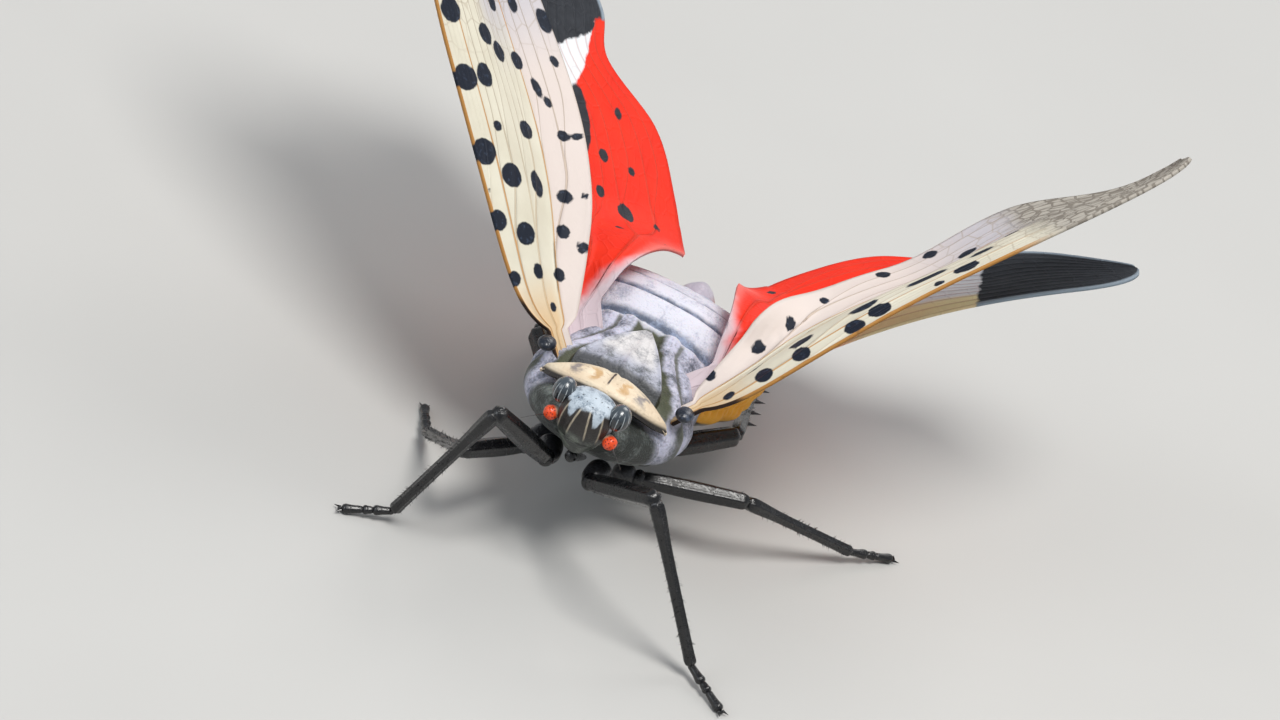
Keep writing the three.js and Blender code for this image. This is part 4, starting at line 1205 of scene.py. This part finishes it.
def forewing_material():
    """Cream wing with tan veins, an orange front edge, blue-black spots and a dusky netted tip."""
    paint = WingPaint("spotted forewing")
    span, across, edge, line, main = paint.fields("span", "across", "edge", "line", "main")
    broad = paint.speckle(500.0)
    cream = paint.blend(broad, (0.56, 0.52, 0.41), (0.72, 0.69, 0.58))
    cream = paint.blend(across.between(0.64, 0.7) * 0.8, cream, (0.64, 0.55, 0.53))
    warm = span.between(2.6, 0.2) * across.between(0.75, 0.5)
    cream = paint.blend(warm * 0.6, cream, (0.66, 0.4, 0.16))
    outer = span.between(9.0, 13.0) * across.between(0.3, 0.5)
    cream = paint.blend(outer, cream, (0.52, 0.5, 0.53))
    tan = paint.blend(span.between(10.0, 2.0), (0.34, 0.27, 0.19), (0.42, 0.27, 0.12))
    veins = paint.veins(0.022) * line.between(3.4, 3.9)
    cross = paint.net(1.3, 0.035, 0.8) * span.between(9.0, 12.5, 0.0, 0.4)
    colour = paint.blend(cross, cream, tan)
    colour = paint.blend(veins * span.between(3.0, 9.0, 0.35, 0.6), colour, tan)
    inward, front = span.between(14.5, 12.0), across.between(0.5, 0.4)
    colour = paint.blend(main.between(0.05, 0.02) * inward * 0.85, colour, (0.5, 0.25, 0.08))
    colour = paint.blend(edge.between(0.1, 0.05) * front * inward, colour, (0.42, 0.2, 0.05))
    rim = edge.between(0.07, 0.035) * front * span.between(1.5, 1.0)
    colour = paint.blend(rim, colour, (0.03, 0.015, 0.01))
    fleck = paint.speckle(5500.0, 2.0).between(0.55, 0.75)
    spot = paint.blend(fleck * 0.5, (0.005, 0.009, 0.02), (0.05, 0.075, 0.13))
    colour = paint.blend(paint.frayed("dark", 0.11), colour, spot)
    tip = (span + broad * 1.5).between(13.6, 15.4)
    dusky = paint.blend(paint.speckle(1300.0), (0.3, 0.27, 0.23), (0.47, 0.44, 0.39))
    net = paint.most(paint.net(3.4, 0.08, 0.55), veins)
    colour = paint.blend(tip, colour, paint.blend(net * 0.65, dusky, (0.11, 0.09, 0.07)))
    raised = veins + net * tip + paint.speckle(4000.0) * 0.6
    return paint.finish(colour, paint.relief(raised, 0.6, 0.00004))


def hindwing_material():
    """Red base with black spots, a white wedge and a black outer third whose edges carry a painted sheen."""
    paint = WingPaint("red hindwing")
    span, across, edge = paint.fields("span", "across", "edge")
    broad = paint.speckle(600.0)
    red = paint.blend(broad, (0.68, 0.014, 0.004), (0.86, 0.035, 0.008))
    white = paint.blend(broad, (0.66, 0.7, 0.74), (0.84, 0.85, 0.86))
    black = paint.blend(paint.speckle(2500.0), (0.008, 0.010, 0.014), (0.035, 0.04, 0.05))
    outer = paint.frayed("black", 0.4, 0.12)
    veins = paint.veins(0.04)
    colour = paint.blend(paint.frayed("white", 0.5, 0.2), red, white)
    cream = across.between(0.2, 0.12) * span.between(4.0, 7.0)
    colour = paint.blend(cream, colour, (0.95, 0.86, 0.5))
    colour = paint.blend(veins * 0.3, colour, (0.4, 0.06, 0.03))
    corner = span.between(4.6, 3.0) * across.between(0.7, 0.95)
    colour = paint.blend(corner * 0.45, colour, (0.8, 0.3, 0.27))
    root = (span + broad * 1.6).between(1.9, 1.0)
    colour = paint.blend(root, colour, (0.6, 0.5, 0.54))
    colour = paint.blend(outer, colour, black)
    # Painted sheen: a pale blue-grey line along the edges of the black outer part
    colour = paint.blend(edge.between(0.2, 0.06) * outer * 0.7, colour, (0.36, 0.44, 0.52))
    colour = paint.blend(paint.frayed("dark", 0.14), colour, black)
    raised = veins + paint.net(2.2, 0.06) * 0.5
    return paint.finish(colour, paint.relief(raised, 0.5, 0.00004))


def floor_material():
    """Plain pale studio floor with a faint unevenness."""
    paint = Paint("pale studio floor", 0.7)
    return paint.finish(paint.blend(paint.speckle(40.0), (0.47, 0.465, 0.45), (0.52, 0.515, 0.5)))


# The insect

def feeler(label, side):
    """A round joint with a bristle, on a short base that is sunk into the cheek."""
    centre, way = Vector(ANTENNA_PLACE), Vector(ANTENNA_DIRECTION).normalized()
    centre.x *= side
    way.x *= side
    half = ANTENNA_LENGTH / 2
    root, start, end, tip = (on_body(*(centre + way * reach))
                             for reach in (-ANTENNA_SUNK, -half, half, half + BRISTLE_LENGTH))
    along = end - start
    bulb = capsule("feeler_bulb_" + label, start, end, BULB_RADII, 36, 40, mark=-0.6)
    bristle = capsule("feeler_bristle_" + label, end - along * 0.06, tip, BRISTLE_RADII, 10, 16, mark=1)
    scape = capsule("feeler_base_" + label, root, start + along * 0.12, SCAPE_RADII, 24, 14, mark=-2)
    return join("feeler_" + label, [bulb, bristle, scape])


def beak():
    """Two joints, each with a keel on both sides."""
    start, end = on_body(*BEAK_START), on_body(*BEAK_END)
    joint = start.lerp(end, BEAK_JOINT)
    ridged = dict(keels=0.08, keel_count=2)
    return join("beak_tube", [
        capsule("beak_upper", start, joint + (end - start) * 0.02, BEAK_UPPER_RADII, 24, 40, **ridged),
        capsule("beak_lower", joint, end, BEAK_LOWER_RADII, 24, 40, **ridged),
    ])


def forewing_fields(spots):
    return lambda along, across: {"dark": spot_distance(spots, along, across)}


def hindwing_fields(along, across):
    """Distances to the dark spots, into the black outer third and into the white wedge."""
    start = WHITE_START + WHITE_START_SLOPE * min(across, WHITE_BEND)
    start += WHITE_OUTER_SLOPE * max(across - WHITE_BEND, 0)
    end = WHITE_END + WHITE_END_SLOPE * across
    rear = HIND_REAR_DARK + HIND_REAR_SLOPE * across
    black = along - (end if across < 5 else lerp(end, rear, smoothstep(across, 4.6, 5.4)))
    white = min(along - start, end - along + WHITE_OVERLAP)
    return {"dark": spot_distance(SPOTS_HIND, along, across), "black": clamp(black, -2, 2),
            "white": clamp(white, -2, 2)}


def foot(label, ankle, toe):
    """A jointed foot on the floor, with two claws and a pad between them."""
    tip = toe + Vector((0, 0, SOLE_HEIGHT))
    parts = []
    for k, (first, last) in enumerate(zip(FOOT_JOINTS, FOOT_JOINTS[1:])):
        start, end = ankle.lerp(tip, first), ankle.lerp(tip, last)
        start -= (end - start).normalized() * FOOT_SUNK
        name = "foot_%d_%s" % (k, label)
        parts.append(capsule(name, start, end, FOOT_RADII, 28, 26, keels=0.06, floor=0.0))
    way = (tip - ankle).normalized()
    flat = Vector((way.x, way.y, 0)).normalized()
    beside = flat.cross(Vector((0, 0, 1)))
    drop = Vector((0, 0, CLAW_DROP))
    claws = [(tip + beside * CLAW_SPACING * turn, flat + beside * CLAW_SPREAD * turn - drop, *CLAW_SIZE)
             for turn in (-1, 1)]
    parts.append(spikes("claws_" + label, claws, 8))
    parts.append(capsule("pad_" + label, tip, tip + flat * PAD_LENGTH, PAD_RADII, 16, 12, floor=0.0))
    return join("foot_piece_" + label, parts)


def leg(label, facts, seed):
    """One leg: coxa, femur, tibia and foot, each sunk into the one before, with its hairs and spines."""
    base, hip, knee, ankle, toe = (Vector(facts[key]) for key in ("base", "hip", "knee", "ankle", "toe"))
    femur, tibia = facts["femur"], facts["tibia"]
    inner = base - (hip - base).normalized() * COXA_SUNK
    coxa = capsule("coxa_piece_" + label, inner, hip, COXA_RADII, 32, 30)
    dress(coxa, coxa_finish, "shell", "coxa_" + label)

    way = (knee - hip).normalized()
    ring = capsule("trochanter_" + label, hip - way * TROCHANTER_REACH[0], hip + way * TROCHANTER_REACH[1],
                   TROCHANTER_RADII, 28, 20)
    radii = [(0, HIP_RADIUS)] + [(t, femur * share) for t, share in FEMUR_SHAPE]
    thigh = capsule("thigh_" + label, hip, knee + way * KNEE_REACH, radii, 48, 90, keels=0.13)
    dress(join("femur_piece_" + label, [thigh, ring]), leg_finish, "leg", "femur_" + label)

    radii = [(t, tibia * share) for t, share in TIBIA_SHAPE]
    parts = [capsule("shin_" + label, knee, ankle, radii, 40, 110, keels=0.16)]
    way = (ankle - knee).normalized()
    side = way.cross(Vector((0, 0, 1))).normalized()
    out = side if side.x * knee.x > 0 else -side
    if facts["spines"]:
        places = [lerp(*SPINE_PLACES, k / (facts["spines"] - 1)) for k in range(facts["spines"])]
        roots = [(knee.lerp(ankle, place) + out * tibia * 0.7, out + way * 0.5, *SPINE_SIZE)
                 for place in places]
        parts.append(spikes("spines_" + label, roots, 8))
    crown = [(ankle - way * 0.12 + (side * math.cos(turn) + Vector((0, 0, 1)) * math.sin(turn)) * tibia * 0.6,
              way + (side * math.cos(turn)) * 0.25, *CROWN_SIZE) for turn in CROWN_TURNS]
    parts.append(spikes("crown_" + label, crown, 6))
    dress(join("tibia_piece_" + label, parts), leg_finish, "leg", "tibia_" + label)

    dress(foot(label, ankle, toe), leg_finish, "leg", "tarsus_" + label)
    hairs = hairs_on(hip, knee, femur * HAIR_RING, seed, FEMUR_HAIR)
    hairs += hairs_on(knee, ankle, tibia * HAIR_RING, seed + 1, TIBIA_HAIR)
    hairs = [hair for hair in hairs if hair[0].z > HAIRLESS_BELOW]
    dress(spikes("hairs_" + label, hairs, 3), leg_finish, "leg")


leg_finish = leg_material()
coxa_finish = shell_material("grey coxa", (0.008, 0.008, 0.01), (0.13, 0.13, 0.15), 0.35, 0.4)
tegula_finish = shell_material("slate tegula", (0.008, 0.012, 0.022), (0.1, 0.13, 0.2), 0.4, 0.4)
eye_finish, antenna_finish = eye_material(), antenna_material()
forewing_finish, hindwing_finish = forewing_material(), hindwing_material()

skin = loft("body_skin", 96, 300, skin_place)
dress(skin, skin_material(), "flesh", "prothorax", "mesothorax", "metathorax", "abdomen")
dress(loft("head_capsule", 128, 120, head_place), head_material(), "shell", "head")
saddle = plate("pronotum_plate", 120, 60, pronotum_place, pronotum_rim)
dress(saddle, pronotum_material(), "pronotum", "pronotum")
shield = plate("mesonotum_plate", 90, 80, mesonotum_place, mesonotum_rim)
dress(shield, mesonotum_material(), "shell", "mesonotum")
for label, side in SIDES.items():
    dress(loft("eye_dome_" + label, 64, 48, eye_place(side)), eye_finish, "eye", "eye_" + label)
    dress(feeler(label, side), antenna_finish, "antenna", "antenna_" + label)
dress(beak(), leg_finish, "leg", "beak")
for label, side in SIDES.items():
    dress(loft("tegula_cap_" + label, 40, 30, tegula_place(side)), tegula_finish, "leg", "tegula_" + label)
for name, spots, seed in (("forewing_right", SPOTS_RIGHT, 3), ("forewing_left", SPOTS_LEFT, 5)):
    piece = make_wing(name, FOREWING_BUNDLES, FOREWING_ROWS, seed, forewing_fields(spots))
    dress(piece, forewing_finish, "forewing", name)
for name, seed in (("hindwing_right", 7), ("hindwing_left", 9)):
    piece = make_wing(name, HINDWING_BUNDLES, HINDWING_ROWS, seed, hindwing_fields)
    dress(piece, hindwing_finish, "hindwing", name)
tail = capsule("tail_tip", on_body(*TAIL_START), on_body(*TAIL_END), TAIL_RADII, 36, 50,
               keels=0.1, keel_count=4)
dress(tail, tail_material(), "tip", "ovipositor")
for seed, (label, facts) in enumerate(LEGS.items()):
    leg(label, facts, 40 + 2 * seed)

# Floor, light and camera

bpy.ops.object.select_all(action="DESELECT")
bpy.ops.mesh.primitive_plane_add(size=FLOOR_SIZE)
floor = bpy.context.object
floor.name = "studio_floor"
floor.data.materials.append(floor_material())

scene = bpy.context.scene
scene.view_settings.view_transform = "Standard"
scene.world = bpy.data.worlds.new("studio")
scene.world.use_nodes = True
sky = scene.world.node_tree.nodes["Background"].inputs
sky["Color"].default_value = SKY_COLOUR
sky["Strength"].default_value = SKY_STRENGTH


def lamp(name, place, size, power, colour):
    """A round soft lamp that is turned towards the insect."""
    data = bpy.data.lights.new(name, "AREA")
    data.shape = "DISK"
    data.size = size
    data.energy = power
    data.color = colour
    made = bpy.data.objects.new(name, data)
    bpy.context.collection.objects.link(made)
    made.location = place
    made.rotation_euler = (Vector(LAMP_AIM) - Vector(place)).to_track_quat("-Z", "Y").to_euler()


for name, facts in LAMPS.items():
    lamp(name, **facts)

elevation, turn = CAMERA_ELEVATION, CAMERA_TURN
level = Vector((math.cos(turn), math.sin(turn), 0))
ahead = Vector((-math.sin(turn), math.cos(turn), 0))
forward = ahead * math.cos(elevation) - Vector((0, 0, math.sin(elevation)))
upright = level.cross(forward)
right = level * math.cos(CAMERA_ROLL) + upright * math.sin(CAMERA_ROLL)
up = upright * math.cos(CAMERA_ROLL) - level * math.sin(CAMERA_ROLL)
scale = CAMERA_DISTANCE / (FRAME_WIDTH * CAMERA_LENS / CAMERA_SENSOR)
offset = right * (HEAD_PIXEL[0] - FRAME_WIDTH / 2) * scale - up * (HEAD_PIXEL[1] - FRAME_HEIGHT / 2) * scale
camera_data = bpy.data.cameras.new("photo_view")
camera_data.lens = CAMERA_LENS
camera_data.sensor_width = CAMERA_SENSOR
camera_data.clip_start = CAMERA_NEAR
camera = bpy.data.objects.new("photo_view", camera_data)
bpy.context.collection.objects.link(camera)
spot = HEAD - forward * CAMERA_DISTANCE * MM - offset * MM
camera.matrix_world = Matrix((
    (right.x, up.x, -forward.x, spot.x),
    (right.y, up.y, -forward.y, spot.y),
    (right.z, up.z, -forward.z, spot.z),
    (0, 0, 0, 1),
))
scene.camera = camera
